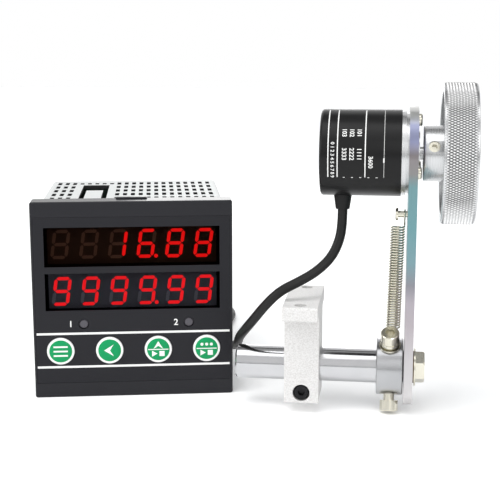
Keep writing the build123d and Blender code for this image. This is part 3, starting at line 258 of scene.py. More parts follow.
# %% [markdown]
# ## How a finish is made
# Moulded plastic has a fine grain, a lathe leaves rings, blasting leaves pits. Photographs
# of surfaces could be wrapped on, but they stretch and stop at an edge. So each finish is
# made of nodes on object coordinates, in real millimetres, and fits any shape.

# %% Material helpers
def colour(code):
    """A colour written as a web code, as the renderer's linear values."""
    parts = [int(code[start:start + 2], 16) / 255 for start in (1, 3, 5)]
    linear = [((part + 0.055) / 1.055) ** 2.4 if part > 0.04045 else part / 12.92 for part in parts]
    return linear + [1.0]


def new_material(name):
    """An empty material, and the place on the object that its nodes start from."""
    material = bpy.data.materials.new(name)
    material.use_nodes = True
    material.node_tree.nodes.clear()
    return material, add_node(material, "ShaderNodeTexCoord").outputs["Object"]


def specks(place, size_mm, detail=3.0, roughness=0.5):
    """What a noise node needs for specks of a real size."""
    scale = 1 / (size_mm * MM)
    return {"Vector": place, "Scale": scale, "Detail": detail, "Roughness": roughness}


def coated(material, inputs, height=None, depth_mm=0.0):
    """The end of a finish: its shader, over a bump of a real depth if it has one."""
    if height is not None:
        relief = {"Height": height, "Distance": depth_mm * MM, "Strength": 1.0}
        inputs = {**inputs, "Normal": add_node(material, "ShaderNodeBump", relief)}
    shader = add_node(material, "ShaderNodeBsdfPrincipled", inputs)
    add_node(material, "ShaderNodeOutputMaterial", {"Surface": shader})
    return material


def off_axle(material, place, about):
    """A place's x, and its distance from the line along x through about, its y and z."""
    parts = add_node(material, "ShaderNodeSeparateXYZ", {"Vector": place}).outputs
    off_y = add_node(material, "ShaderNodeMath", {0: parts[1], 1: about[0]}, operation="SUBTRACT")
    off_z = add_node(material, "ShaderNodeMath", {0: parts[2], 1: about[1]}, operation="SUBTRACT")
    flat = add_node(material, "ShaderNodeCombineXYZ", {"Y": off_y, "Z": off_z})
    length = add_node(material, "ShaderNodeVectorMath", {0: flat}, operation="LENGTH")
    return parts[0], length.outputs["Value"]


def set_stops(ramp_node, stops):
    """Give a colour ramp its stops, pairs of a position and a colour."""
    elements = ramp_node.color_ramp.elements
    while len(elements) < len(stops):
        elements.new(0.5)
    for element, (position, shade) in zip(elements, stops):
        element.position = position
        element.color = shade


# %% [markdown]
# ## The kinds of finish
# Seven kinds cover the object: grained plastic and paint, turned metal, case plastic with
# painted shade in its vents, plating whose colour by height holds its tint and painted
# reflections, smoked windows, blasted metal and glowing digits. One large recipe could do them all, but
# short ones show what each surface needs.

# %% Finish recipes
# How strong a highlight is on plastic and on metal, and how deep the case's pale skin is in millimetres,
# below which its shade is painted.
SHEEN = 0.25
METAL_SPECULAR = 0.5
SKIN_T = 0.15


def grained(name, code, dark_code, roughness, metallic=0.0, grain_mm=0.5, depth_mm=0.02, coat=0.0):
    """A surface with a fine grain: moulded plastic, plated steel, paint or rubber."""
    material, place = new_material(name)
    fine = add_node(material, "ShaderNodeTexNoise", specks(place, grain_mm))
    broad = add_node(material, "ShaderNodeTexNoise", specks(place, 14.0, 4.0))
    tones = {0: broad, 6: colour(dark_code), 7: colour(code)}
    tone = add_node(material, "ShaderNodeMix", tones, data_type="RGBA").outputs[2]
    wear = {"Value": broad, "To Min": roughness - 0.05, "To Max": roughness + 0.06}
    inputs = {"Base Color": tone, "Metallic": metallic, "Coat Weight": coat,
              "Roughness": add_node(material, "ShaderNodeMapRange", wear),
              "Specular IOR Level": METAL_SPECULAR if metallic else SHEEN}
    return coated(material, inputs, fine, depth_mm)


def turned(name, code, dark_code, roughness, ring_mm=0.25, depth_mm=0.002, about=(0.0, 0.0)):
    """Turned metal: fine rings round an axle along x that passes through about."""
    material, place = new_material(name)
    along, radius = off_axle(material, place, about)
    ring_place = add_node(material, "ShaderNodeCombineXYZ", {"X": along, "Y": radius}).outputs[0]
    rings = add_node(material, "ShaderNodeTexNoise", specks(ring_place, ring_mm, 2.0))
    broad = add_node(material, "ShaderNodeTexNoise", specks(place, 12.0, 2.0))
    tones = {0: broad, 6: colour(dark_code), 7: colour(code)}
    tone = add_node(material, "ShaderNodeMix", tones, data_type="RGBA").outputs[2]
    wear = {"Value": rings, "To Min": roughness - 0.03, "To Max": roughness + 0.05}
    inputs = {"Base Color": tone, "Metallic": 1.0,
              "Roughness": add_node(material, "ShaderNodeMapRange", wear)}
    return coated(material, inputs, rings, depth_mm)


def shade_painted_case(name, code, dark_code, roughness, half, middle_z, corner):
    """Case plastic with painted shade: below its pale skin, on the walls of its vents, it is drawn dark.
    """
    material, place = new_material(name)
    turn = {"Vector": place, "Location": TO_COUNTER.to_translation(), "Rotation": (0, 0, COUNTER_TURN)}
    own = add_node(material, "ShaderNodeMapping", turn, vector_type="TEXTURE")
    parts = add_node(material, "ShaderNodeSeparateXYZ", {"Vector": own}).outputs
    past = []
    for part, middle in ((parts[0], 0.0), (parts[2], middle_z)):
        steps = (("SUBTRACT", middle), ("ABSOLUTE", 0.0), ("SUBTRACT", half - corner),
                 ("MAXIMUM", 0.0), ("POWER", 2.0))
        for operation, value in steps:
            part = add_node(material, "ShaderNodeMath", {0: part, 1: value}, operation=operation)
        past.append(part)
    total = add_node(material, "ShaderNodeMath", {0: past[0], 1: past[1]}, operation="ADD")
    reach = add_node(material, "ShaderNodeMath", {0: total}, operation="SQRT")
    # Painted shade: points deeper than the skin take the dark colour.
    skin = corner - SKIN_T * MM
    inside = add_node(material, "ShaderNodeMath", {0: reach, 1: skin}, operation="LESS_THAN")
    tones = {0: inside, 6: colour(code), 7: colour(dark_code)}
    tone = add_node(material, "ShaderNodeMix", tones, data_type="RGBA").outputs[2]
    fine = add_node(material, "ShaderNodeTexNoise", specks(place, 0.4))
    return coated(material, {"Base Color": tone, "Roughness": roughness}, fine, 0.02)


def tint_and_painted_light(name, stops, roughness):
    """Plated metal whose colour changes with height, partly its own tint and partly painted reflection
    and shade: stops are (height in mm, colour).
    """
    material, place = new_material(name)
    height = add_node(material, "ShaderNodeSeparateXYZ", {"Vector": place}).outputs[2]
    low, high = stops[0][0], stops[-1][0]
    span = {"Value": height, "From Min": low * MM, "From Max": high * MM}
    share = add_node(material, "ShaderNodeMapRange", span)
    ramp_node = add_node(material, "ShaderNodeValToRGB", {0: share})
    set_stops(ramp_node, [((up - low) / (high - low), colour(code)) for up, code in stops])
    grain = add_node(material, "ShaderNodeTexNoise", specks(place, 0.4))
    inputs = {"Base Color": ramp_node, "Metallic": 0.9, "Roughness": roughness}
    return coated(material, inputs, grain, 0.006)


def smoked(name, code, pale_code):
    """A smoked window: light goes straight through, tinted, a little unevenly."""
    material, place = new_material(name)
    drift = add_node(material, "ShaderNodeTexNoise", specks(place, 20.0))
    tones = {0: drift, 6: colour(code), 7: colour(pale_code)}
    tint = add_node(material, "ShaderNodeMix", tones, data_type="RGBA").outputs[2]
    shader = add_node(material, "ShaderNodeBsdfTransparent", {"Color": tint})
    add_node(material, "ShaderNodeOutputMaterial", {"Surface": shader})
    return material


def speckled(name, code, dark_code, roughness, metallic, grain_mm, depth_mm):
    """Blasted metal: a fine bump whose pits are darker than its points."""
    material, place = new_material(name)
    grain = add_node(material, "ShaderNodeTexNoise", specks(place, grain_mm, 3.0, 0.6))
    steep = {"Value": grain, "From Min": 0.35, "From Max": 0.6}
    share = add_node(material, "ShaderNodeMapRange", steep)
    tones = {0: share, 6: colour(dark_code), 7: colour(code)}
    tone = add_node(material, "ShaderNodeMix", tones, data_type="RGBA").outputs[2]
    inputs = {"Base Color": tone, "Metallic": metallic, "Roughness": roughness}
    return coated(material, inputs, grain, depth_mm)


def glowing(name, code, strength):
    """A part of a digit, lit from within or dull."""
    material, _ = new_material(name)
    shade = colour(code)
    inputs = {"Base Color": shade, "Emission Color": shade, "Emission Strength": strength,
              "Roughness": 0.4}
    return coated(material, inputs)


# %% [markdown]
# ## The finishes of the counter
# Its frame is charcoal plastic behind a matt film, its case light grey, its windows smoked.
# The colours could be sampled, but glare would come with them, so each starts from the
# plastic's usual tone and is then matched in the render.

# %% Plastics, print and boards
CASE_LOW, CASE_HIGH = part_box("case_shell")
CASE_HALF = (CASE_HIGH.z - CASE_LOW.z) / 2
CASE_CORNER = 2.8 * MM

# Moulded charcoal: a smooth frame with a narrow, even highlight.
charcoal = grained("charcoal moulded plastic", "#1d1d22", "#19191e", 0.2, grain_mm=0.35, depth_mm=0.004)
# Matt film: no highlight at all, so that the digits read from any side.
film = grained("matt printed film", "#1b1b20", "#18181d", 0.5, grain_mm=0.25, depth_mm=0.008)
# Smoked windows: unlit digits sink back, the upper in brown and the lower in grey.
upper_smoke = smoked("brown smoked window", "#c0b0a8", "#c6b6ae")
lower_smoke = smoked("grey smoked window", "#c4c4c8", "#cacace")
# Dull display blocks: a quiet ground that the digits stand on.
upper_block = grained("dark display block", "#484644", "#42403e", 0.6)
lower_block = grained("dark grey display block", "#727274", "#6c6c6e", 0.6)
# Screen print: flat, even white with crisp edges.
print_white = grained("white screen print", "#f2f2f0", "#e9e9e7", 0.6, grain_mm=0.2, depth_mm=0.004)
# Key rubber: strong green with a soft, wide highlight.
key_green = grained("green key rubber", "#03985a", "#028d52", 0.5, grain_mm=0.3, depth_mm=0.01)
# Black plastic: terminals and switches recede.
switch_black = grained("black moulded plastic", "#1b1b1c", "#151516", 0.5)
# Lamp lens: a grey dot, as the lamps are off.
lamp_lens = grained("unlit lamp lens", "#57555b", "#514f55", 0.35)
# Circuit board: dark green under varnish, only guessed at through the vents.
board_green = grained("dark circuit board", "#14201a", "#101a15", 0.4, coat=0.2)
# Light grey case: pale outside, with painted shade on the walls where the vents cut through.
case_grey_painted_shade = shade_painted_case("light grey case plastic, painted vent shade", "#d2d4d3", "#161617", 0.5,
                   CASE_HALF, CASE_LOW.z + CASE_HALF, CASE_CORNER)
# Rear panel: the case's grey with a coarser mould grain.
rear_grey = grained("light grey rear plastic", "#d2d4d3", "#c8caca", 0.55, grain_mm=0.4, depth_mm=0.025)
# Inner parts: varnished steel, relay covers and capacitor sleeves, each with a clear coat.
core_black = grained("varnished transformer core", "#3a3a3c", "#2a2a2c", 0.4, coat=0.3)
relay_blue = grained("blue relay cover", "#2456a4", "#1e4a90", 0.35, coat=0.3)
can_black = grained("sleeved capacitor", "#1d2233", "#161a28", 0.35, coat=0.3)
# Lit digit: pure red that glows but lights nothing round it. Unlit: just visible.
lit = glowing("lit red segment", "#ff1a1e", 2.0)
lit.cycles.emission_sampling = "NONE"
unlit_upper = glowing("unlit upper segment", "#8a8580", 0.0)
unlit_lower = glowing("unlit lower segment", "#98989a", 0.0)
print("counter's materials made, case corner", round(CASE_CORNER / MM, 2), "mm")

# %% [markdown]
# ## The finishes of the measuring unit
# Ground and turned steel, nickel plated screws, a blasted block and an arm whose zinc is
# passivated blue. Metals could share one grey, but the eye tells them apart by their
# rings, pits and tint, so each has its own.

# %% Metals, rubber and cable
ROD_LINE = (ROD_AXIS.y, ROD_AXIS.z)
AXLE_LINE = (WHEEL_AXIS.y, WHEEL_AXIS.z)

# Nickel plated screws: warm and bright, with small sharp highlights.
nickel = grained("nickel plated steel", "#e2dfd2", "#cfcbbb", 0.2, metallic=1.0, depth_mm=0.004)
# Ground rod: near mirror, so that it draws the sky as long lines.
steel = turned("ground steel rod", "#c8c8ca", "#bcbdbf", 0.14, about=ROD_LINE)
# Axle and collar: ground and turned steel, with softer highlights than the rod.
axle_steel = turned("ground steel axle", "#c4c5c6", "#aaabac", 0.22, about=AXLE_LINE)
collar_steel = turned("bright turned steel", "#b6b7b9", "#a6a7a9", 0.24, ring_mm=0.35, about=ROD_LINE)
# Black oxide: a dark screw that still shines like metal.
black_oxide = grained("black oxide steel", "#2a2a2c", "#1c1c1e", 0.32,
                      metallic=0.8, grain_mm=0.3, depth_mm=0.01)
# Blasted block: pale and sandy, with no mirror in it.
blasted = speckled("blasted aluminium", "#dfdedd", "#c9c7c5", 0.55, 0.2, 0.5, 0.06)
# Passivated zinc: teal and violet tints that drift along the arm, with painted reflection and shade along
# it, pale at both rounded ends.
plate_tint_painted_light = tint_and_painted_light("blue passivated zinc plate, painted reflections", (
    (4, "#cccaca"), (30, "#bbb8ba"), (45, "#aaa3a8"), (56, "#a49ea5"), (64, "#85858c"),
    (74, "#76939a"), (90, "#6b9398"), (108, "#709398"), (114, "#878686"), (122, "#8a8486"),
    (128, "#8084a0"), (135, "#878ba4"), (139, "#d2d4d2"), (142, "#dcdcda")), 0.3)
# Turned aluminium: rings round the axle fan out as the light moves.
aluminium = turned("turned aluminium", "#d4d5d6", "#c0c1c2", 0.26, ring_mm=0.3, about=AXLE_LINE)
# Bearings: oiled brown bronze, and steel polished brighter than the rest.
bronze = turned("oiled bearing bronze", "#7c6a50", "#6a5a42", 0.4, about=ROD_LINE)
bright = turned("polished bearing steel", "#d8d8d8", "#c8c8c8", 0.12, about=AXLE_LINE)
# Code disc: etched grey, dull between its lines.
etched = turned("etched code disc", "#a9a9a9", "#7b7b7b", 0.3, about=AXLE_LINE)
# Spring wire: drawn smooth, each turn with one bright line.
wire = grained("drawn spring wire", "#dedbcc", "#c2bfae", 0.2, metallic=1.0, grain_mm=0.4, depth_mm=0.004)
# Encoder cover: black satin with one broad, soft highlight.
cover_black = grained("black satin cover", "#0e0e0f", "#0a0a0b", 0.3, grain_mm=0.3, depth_mm=0.004)
# Gland and sleeve: soft rubber, hardly any shine. Cable jacket: a little more.
rubber = grained("soft black rubber", "#171717", "#121212", 0.55, grain_mm=0.3, depth_mm=0.015)
jacket = grained("black cable jacket", "#1d1d1d", "#171717", 0.4, grain_mm=0.6, depth_mm=0.012)
# Wire ends: plain red insulation.
insulation = grained("red wire insulation", "#b3221c", "#a01d18", 0.4)
print("materials made:", len(bpy.data.materials))

# %% [markdown]
# ## Which piece has which finish
# Every solid of the CAD model is one piece of one stuff. The finishes could be set piece
# by piece in the editor. One table shows them all and is easily changed.

# %% Finishes on the CAD pieces
FINISHES = (
    (charcoal, "front_bezel"), (film, "front_overlay"), (upper_smoke, "upper_window"),
    (lower_smoke, "lower_window"), (upper_block, "count_display"), (lower_block, "preset_display"),
    (print_white, "key_set key_shift key_up key_reset"), (lamp_lens, "indicator_lamps"),
    (switch_black, "key_switches terminal_strips board_headers controller_chip reader_head cable_tie"),
    (board_green, "display_board terminal_board main_board encoder_board"),
    (case_grey_painted_shade, "case_shell"), (rear_grey, "rear_panel"), (core_black, "transformer"),
    (relay_blue, "output_relays"), (can_black, "capacitors"), (steel, "support_rod"),
    (nickel, "terminal_screws collar_screws collar_washers pivot_washer pivot_bolt"),
    (nickel, "hook_screw flange_screws hub_set_screws"), (blasted, "clamp_block"),
    (black_oxide, "clamp_screw"), (collar_steel, "tension_collar"), (bronze, "pivot_bush"),
    (plate_tint_painted_light, "arm_plate"), (wire, "tension_spring"), (aluminium, "encoder_flange disc_hub"),
    (cover_black, "encoder_cover"), (rubber, "cable_gland cable_sleeve"),
    (bright, "encoder_bearings"), (axle_steel, "encoder_shaft"), (etched, "code_disc"),
    (insulation, "lead_wires"),
)
finished = 0
for material, names in FINISHES:
    for name in names.split():
        nodes[name].data.materials.clear()
        nodes[name].data.materials.append(material)
        finished += 1
print("finishes on", finished, "nodes")

# %% [markdown]
# ## The cable
# One black cable, about a metre of it: out of the encoder's gland, down behind the
# counter, into a coil of two layers held by a strap, and on to the sleeve at the
# counter's terminals. It could stay as the CAD model's separate lengths, but their joints
# would open when the arm swings. One smooth spline is turned into a tube.

# %% The cable's route
CABLE_R = 2.25
CABLE_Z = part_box("cable_coil")[0].z / MM + CABLE_R
COIL_AT = (-136.0, 161.0)
COIL_MID_R = 26.0
COIL_PITCH = 4.95
COIL_TURNS = 2
COIL_STEPS = 16
GLAND_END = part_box("cable_gland")[0].z / MM
SLEEVE_AT = (-8.0, 131.5)
CABLE_POINTS = [
    (-29.5, 0.0, GLAND_END), (-29.5, 0.0, 88.6), (-30.6, -0.8, 80.6), (-34.2, -2.6, 72.6),
    (-41.0, -6.0, 66.4), (-48.6, -9.6, 62.4), (-57.0, -12.0, 58.4), (-64.2, -10.2, 50.8),
    (-70.0, -5.0, 42.8), (-75.2, 2.8, 35.6), (-79.2, 13.0, 29.4), (-81.4, 25.0, 23.6),
    (-84.2, 38.0, 18.4), (-88.0, 54.0, 13.4), (-92.4, 72.0, 8.8), (-96.6, 90.0, 5.4),
    (-100.0, 104.0, 3.4), (-102.4, 117.0, CABLE_Z),
]
QUARTER = 0.25
ENTRY_BACK = 14.5
EXIT_BACK = 8
COIL_INNER_R = COIL_MID_R - COIL_PITCH * COIL_TURNS / 2
COIL_END_R = COIL_INNER_R + COIL_PITCH * (COIL_TURNS + QUARTER)
START_X, END_X = COIL_AT[0] + COIL_END_R, COIL_AT[0] - COIL_END_R
STRAIGHT_Y = COIL_AT[1] - 2 * CABLE_R
ENTRY = [(START_X, STRAIGHT_Y - ENTRY_BACK, CABLE_Z), (START_X, STRAIGHT_Y, CABLE_Z)]
UPPER_Z = CABLE_Z + COIL_PITCH


def coil_point(turns):
    """A point of the coil, counted in turns from the middle of its climb."""
    radius = COIL_INNER_R + COIL_PITCH * abs(turns)
    angle = math.radians(90 + 360 * turns)
    share = min(max(turns + QUARTER, 0), 2 * QUARTER) / (2 * QUARTER)
    x = COIL_AT[0] + radius * math.cos(angle)
    return (x, COIL_AT[1] + radius * math.sin(angle), CABLE_Z + COIL_PITCH * share)


half_steps = round((COIL_TURNS + QUARTER) * COIL_STEPS)
COIL_POINTS = [coil_point(step / COIL_STEPS) for step in range(-half_steps, half_steps + 1)]
route = [spot(*point) for point in CABLE_POINTS + ENTRY + COIL_POINTS]
route += [spot(END_X, STRAIGHT_Y, UPPER_Z), spot(END_X, STRAIGHT_Y - EXIT_BACK, UPPER_Z)]
route.append(counter_spot(SLEEVE_AT[0], SLEEVE_AT[1] + EXIT_BACK, UPPER_Z))
route.append(counter_spot(*SLEEVE_AT, UPPER_Z))
print("cable route of", len(route), "points")

# %% [markdown]
# ### From a route to a tube
# A real cable is a round jacket of one thickness. A curve's own bevel could give it that.
# A node tree does the same and names its sizes. The tube replaces the CAD lengths and
# runs between the counter's side, which stays, and the arm, which swings.

# %% The cable's tube
def smooth_route(points):
    """The route as a smooth spline that passes from point to point."""
    curve = bpy.data.curves.new("route", "CURVE")
    curve.dimensions = "3D"
    curve.resolution_u = 10
    spline = curve.splines.new("NURBS")
    spline.points.add(len(points) - 1)
    for target, point in zip(spline.points, points):
        target.co = (*point, 1)
    spline.order_u = 3
    spline.use_endpoint_u = True
    return bpy.data.objects.new("route", curve)


def tube_nodes():
    """A node tree that turns a curve into a closed round tube."""
    tree = new_tree("tube along a curve", {"Radius": "NodeSocketFloat", "Sides": "NodeSocketInt",
                                           "Material": "NodeSocketMaterial"})
    given = add_node(tree, "NodeGroupInput").outputs
    round_sizes = {"Radius": given["Radius"], "Resolution": given["Sides"]}
    ring = add_node(tree, "GeometryNodeCurvePrimitiveCircle", round_sizes)
    path = {"Curve": given["Geometry"], "Profile Curve": ring, "Fill Caps": True}
    swept = add_node(tree, "GeometryNodeCurveToMesh", path)
    return closed_tree(tree, swept, given["Material"])


route_curve = smooth_route(route)
route_mesh = bpy.data.meshes.new_from_object(route_curve)
cable_sizes = {"Radius": CABLE_R * MM, "Sides": 20, "Material": jacket}
cable_mesh = grown("cable", route_curve, tube_nodes(), cable_sizes)
cable = as_object("cable", cable_mesh, None, [])
shade_smooth(cable, 60)
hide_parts("cable_upper", "cable_lower", "cable_coil", "cable_tail")
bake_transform(cable)

# %% [markdown]
# ## The printed face
# White lines and numbers are screen printed on the film. A material could draw them, but
# each would need its own mask. They are thin raised shapes here, because a print a few
# hundredths thick still catches light.

# %% Lines, rings and lamp labels
FACE_H = 96.0
FILM_Y = 0.1
PRINT_T = 0.03
LINE_HALF_W = 46.5
LINE_T = 1.05
LINE_DOWN = (64.25, 80.8)
LAMP_DOWN = 59.6
LAMP_X = (-23.9, 26.7)
KEY_DOWN = 72.8
KEY_PITCH = 23.5
KEY_NAMES = ("key_set", "key_shift", "key_up", "key_reset")
KEY_BODIES = ("set_key", "shift_key", "up_key", "reset_key")
GREEN_R = 5.5
KEY_FACE_Y = -0.5
LABEL_H = 3.0
LABEL_LEFT = 6.2

lines = [bar(-LINE_HALF_W, LINE_HALF_W, FACE_H - down - LINE_T / 2, FACE_H - down + LINE_T / 2)
         for down in LINE_DOWN]
line_mesh = prisms("face_lines", lines, FILM_Y - PRINT_T, FILM_Y)
as_object("face_lines", line_mesh, "base", [print_white])


# A capital's height, as a share of the font's size.
CAP_SHARE = 0.69
# How much each stroke is thickened, as a share of a capital's height.
STROKE_SHARE = 0.02


def letters(text, height, align, thick):
    """A short text as a flat mesh in millimetres, with capitals of the given height."""
    curve = bpy.data.curves.new("word", "FONT")
    curve.body = text
    curve.size = height / CAP_SHARE
    curve.align_x, curve.align_y = align, "CENTER"
    curve.extrude = thick / 2
    curve.offset = STROKE_SHARE * height
    holder = bpy.data.objects.new("word", curve)
    mesh = bpy.data.meshes.new_from_object(holder)
    bpy.data.objects.remove(holder)
    return mesh


def words(text, height, x, z, y, thick):
    """A text on the counter's face, centred on (x, z)."""
    mesh = letters(text, height, "CENTER", thick)
    place = TO_COUNTER @ Matrix.Translation(Vector((x, y, z)) * MM) @ Matrix.Rotation(math.pi / 2, 4, "X")
    mesh.transform(place @ Matrix.Diagonal((MM, MM, MM, 1)))
    return mesh


def joined(name, meshes):
    """Several meshes as one."""
    shape = bmesh.new()
    for mesh in meshes:
        shape.from_mesh(mesh)
    return baked(name, shape)


labels = [words(str(index + 1), LABEL_H, x - LABEL_LEFT, FACE_H - LAMP_DOWN, FILM_Y, PRINT_T)
          for index, x in enumerate(LAMP_X)]
as_object("lamp_labels", joined("lamp_labels", labels), "base", [print_white])
print("printed", len(lines), "lines and", len(labels), "numbers")

# %% [markdown]
# ## The keys
# A key is a soft green cap in a white ring, crowned so that a finger finds its middle. A
# sphere's cap could do, but four rings of points give the flatter real crown. Its plain
# white signs ride on the key, so that they go in with it.

# %% Keys: a green dome with its legend
CROWN = ((GREEN_R, 0.0), (GREEN_R - 0.15, 0.1), (GREEN_R * 0.6, 0.16), (GREEN_R * 0.25, 0.18))


def key_dome(name, x):
    """The soft green top of a key, crowned a little towards the middle."""
    shape = bmesh.new()
    rings = []
    for radius, rise in CROWN:
        outline = circle(x, FACE_H - KEY_DOWN, radius)
        places = [counter_spot(px, KEY_FACE_Y - rise, pz) for px, pz in outline]
        rings.append([shape.verts.new(place) for place in places])
    join_rings(shape, rings)
    shape.faces.new(rings[-1])
    return baked(name, shape)


def sign(points, x, z, size):
    """The outline of a sign at a place, in its size."""
    return [(x + px * size, z + pz * size) for px, pz in points]


LEFT_HEAD = [(-0.5, 0.0), (0.5, 0.62), (0.12, 0.0), (0.5, -0.62)]
UP_HEAD = [(-0.62, -0.5), (0.0, -0.12), (0.62, -0.5), (0.0, 0.5)]
PLAY = [(-0.4, 0.5), (0.5, 0.0), (-0.4, -0.5)]
RULE_HALF = 4.9
RULE_T = 0.45
MENU_HALF = (3.4, 0.4)
MENU_PITCH = 2.2
DOT_PITCH = 2.3
DOT_R = 0.75
LEFT_SIZE, UP_SIZE, PLAY_SIZE = 4.6, 3.8, 2.9
LEFT_SHIFT = 0.4
HEAD_UP, OFF_RULE = 2.2, 2.1
PLAY_BACK, STOP_ON = 1.9, 0.5
STOP = 1.25
SIGN_OUT, SIGN_IN = KEY_FACE_Y - 0.22, KEY_FACE_Y - 0.05


def run_and_stop(x, z):
    """A play triangle and a stop square side by side, the common signs for run and stop."""
    square = bar(x + STOP_ON, x + STOP_ON + 2 * STOP, z - STOP, z + STOP)
    return [sign(PLAY, x - PLAY_BACK, z, PLAY_SIZE), square]


def key_legend(index, x):
    """The white signs of a key, as outlines."""
    z = FACE_H - KEY_DOWN
    rule = bar(x - RULE_HALF, x + RULE_HALF, z - RULE_T / 2, z + RULE_T / 2)
    if index == 0:
        wide, high = MENU_HALF
        middles = (z - MENU_PITCH, z, z + MENU_PITCH)
        return [bar(x - wide, x + wide, middle - high, middle + high) for middle in middles]
    if index == 1:
        return [sign(LEFT_HEAD, x - LEFT_SHIFT, z, LEFT_SIZE)]
    if index == 2:
        return [sign(UP_HEAD, x, z + HEAD_UP, UP_SIZE), rule] + run_and_stop(x, z - OFF_RULE)
    dots = [circle(x + step, z + OFF_RULE, DOT_R, 24) for step in (-DOT_PITCH, 0, DOT_PITCH)]
    return dots + [rule] + run_and_stop(x, z - OFF_RULE)


for index, (name, body) in enumerate(zip(KEY_NAMES, KEY_BODIES)):
    x = (index - 1.5) * KEY_PITCH
    dome = as_object(name + "_dome", key_dome(name + "_dome", x), body, [key_green])
    shade_smooth(dome)
    legend = prisms(name + "_legend", key_legend(index, x), SIGN_OUT, SIGN_IN)
    as_object(name + "_legend", legend, body, [print_white])
print("keys", len(KEY_NAMES), "at", KEY_PITCH, "mm")

# %% [markdown]
# ## Digits
# Each display is a dark block with seven-part digits behind a smoked window. A font of
# such digits could be used, but then the unlit parts would be missing. Here every bar is
# its own outline: the lit ones glow red, the unlit ones stay just visible.

# %% Seven-part digits
SEGMENT_Y = 4.35
SEGMENT_T = 0.06
DIGIT_PITCH = 13.7
DIGIT_H = 14.2
DIGIT_W = 8.3
BAR_T = 1.6
LEAN = math.tan(math.radians(8))
BAR_GAP = 0.26
POINT_R = 0.95
POINT_OUT = 1.3
SEGMENTS = {
    "a": ((-1, 1), (1, 1)), "b": ((1, 1), (1, 0)), "c": ((1, 0), (1, -1)), "d": ((-1, -1), (1, -1)),
    "e": ((-1, 0), (-1, -1)), "f": ((-1, 1), (-1, 0)), "g": ((-1, 0), (1, 0)),
}
DIGIT_BARS = {"8": "abcdefg", "1": "bc", "6": "acdefg", "9": "abcdfg"}


def segment(start, end, x, z):
    """One bar of a digit with pointed ends, leaning with the digit."""
    half_w, half_h = (DIGIT_W - BAR_T) / 2, (DIGIT_H - BAR_T) / 2
    a = Vector((start[0] * half_w, start[1] * half_h))
    b = Vector((end[0] * half_w, end[1] * half_h))
    along = (b - a).normalized()
    side = Vector((-along.y, along.x)) * BAR_T / 2
    a, b = a + along * BAR_GAP, b - along * BAR_GAP
    inset = along * BAR_T / 2
    corners = [a, a + inset + side, b - inset + side, b, b - inset - side, a + inset - side]
    return [(x + corner.x + corner.y * LEAN, z + corner.y) for corner in corners]


def digits(row, middle, first_lit):
    """Lit and unlit outlines of one row of digits, with the point after one of them."""
    on, off = [], []
    for index, (digit, point) in enumerate(row):
        x = (index - (len(row) - 1) / 2) * DIGIT_PITCH
        for name, (start, end) in SEGMENTS.items():
            shown = name in DIGIT_BARS[digit] and index >= first_lit
            (on if shown else off).append(segment(start, end, x, middle))
        if point:
            dot_x = x + DIGIT_W / 2 + POINT_OUT - DIGIT_H / 2 * LEAN
            on.append(circle(dot_x, middle - DIGIT_H / 2 + POINT_R, POINT_R, 20))
    return on, off


UPPER_ROW = (("8", False), ("8", False), ("1", False), ("6", True), ("8", False), ("8", False))
LOWER_ROW = (("9", False), ("9", False), ("9", False), ("9", True), ("9", False), ("9", False))
# Each row: its name, its digits, its height down the face, its first lit digit, its dull tone.
DISPLAYS = (("count", UPPER_ROW, 21.2, 2, unlit_upper), ("preset", LOWER_ROW, 44.2, 0, unlit_lower))
for name, row, down, first, dim in DISPLAYS:
    on, off = digits(row, FACE_H - down, first)
    for part, outlines, material in (("_lit", on, lit), ("_unlit", off, dim)):
        mesh = prisms(name + part, outlines, SEGMENT_Y - SEGMENT_T, SEGMENT_Y)
        as_object(name + part, mesh, "base", [material])
    print(name, len(on), "lit parts,", len(off), "unlit")

# %% [markdown]
# ## The encoder's label
# A printed film wraps the front of the cover, with white lines and plain numbers. An image
# could be wrapped on, but fine print blurs. The lines are thin strips bent to the cover's
# radius, and the numbers are bent meshes.

# %% Label on the encoder's cover
COVER_LOW, COVER_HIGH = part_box("encoder_cover")
COVER_R = (COVER_HIGH.y - COVER_LOW.y) / 2 / MM
COVER_START = (COVER_LOW.x - ARM_FACE) / MM
LABEL_OUT = 0.04
STRIP_STEP = 3


def cover_spot(along, turn, out):
    """A place on the cover: along from its closed end, turn in degrees up from the front."""
    angle = math.radians(turn)
    radius = COVER_R + out
    up = WHEEL_AXIS.z / MM + radius * math.sin(angle)
    return spot(COVER_START + along, -radius * math.cos(angle), up)


def strips(name, patches):
    """Thin strips on the cover, each from one place along to another and one angle to another."""
    shape = bmesh.new()
    for low, high, first, last in patches:
        steps = max(1, math.ceil(abs(last - first) / STRIP_STEP))
        rings = []
        for step in range(steps + 1):
            turn = first + (last - first) * step / steps
            places = ((low, 0.0), (high, 0.0), (high, LABEL_OUT), (low, LABEL_OUT))
            rings.append([shape.verts.new(cover_spot(along, turn, out)) for along, out in places])
        join_rings(shape, rings)
        shape.faces.new(rings[0])
        shape.faces.new(rings[-1][::-1])
    bmesh.ops.recalc_face_normals(shape, faces=shape.faces)
    return baked(name, shape)


# Each strip: from and to along the cover, in millimetres, from and to round it, in degrees.
LABEL_TOP, LABEL_BOTTOM = 80, -28
WIDE, DASH_L, DASH_T = 0.45, 0.9, 0.8
label_lines = [(along, along + WIDE, LABEL_BOTTOM, LABEL_TOP) for along in (3.8, 7.9, 20.1)]
label_lines += [(28.5, 28.65, LABEL_BOTTOM, LABEL_TOP), (28.2, 28.8, -7, -1)]
label_lines += [(along, along + DASH_L, LABEL_BOTTOM - DASH_T, LABEL_BOTTOM)
                for along in (10.6, 14.2, 17.8, 21.4, 25.0)]
as_object("label_lines", strips("label_lines", label_lines), "arm", [print_white])


def wrapped(mesh):
    """Bend a flat mesh in millimetres, x along the label and y up it, round the cover."""
    for vertex in mesh.vertices:
        x, y, z = vertex.co
        vertex.co = cover_spot(x, math.degrees(y / COVER_R), z)
    return mesh


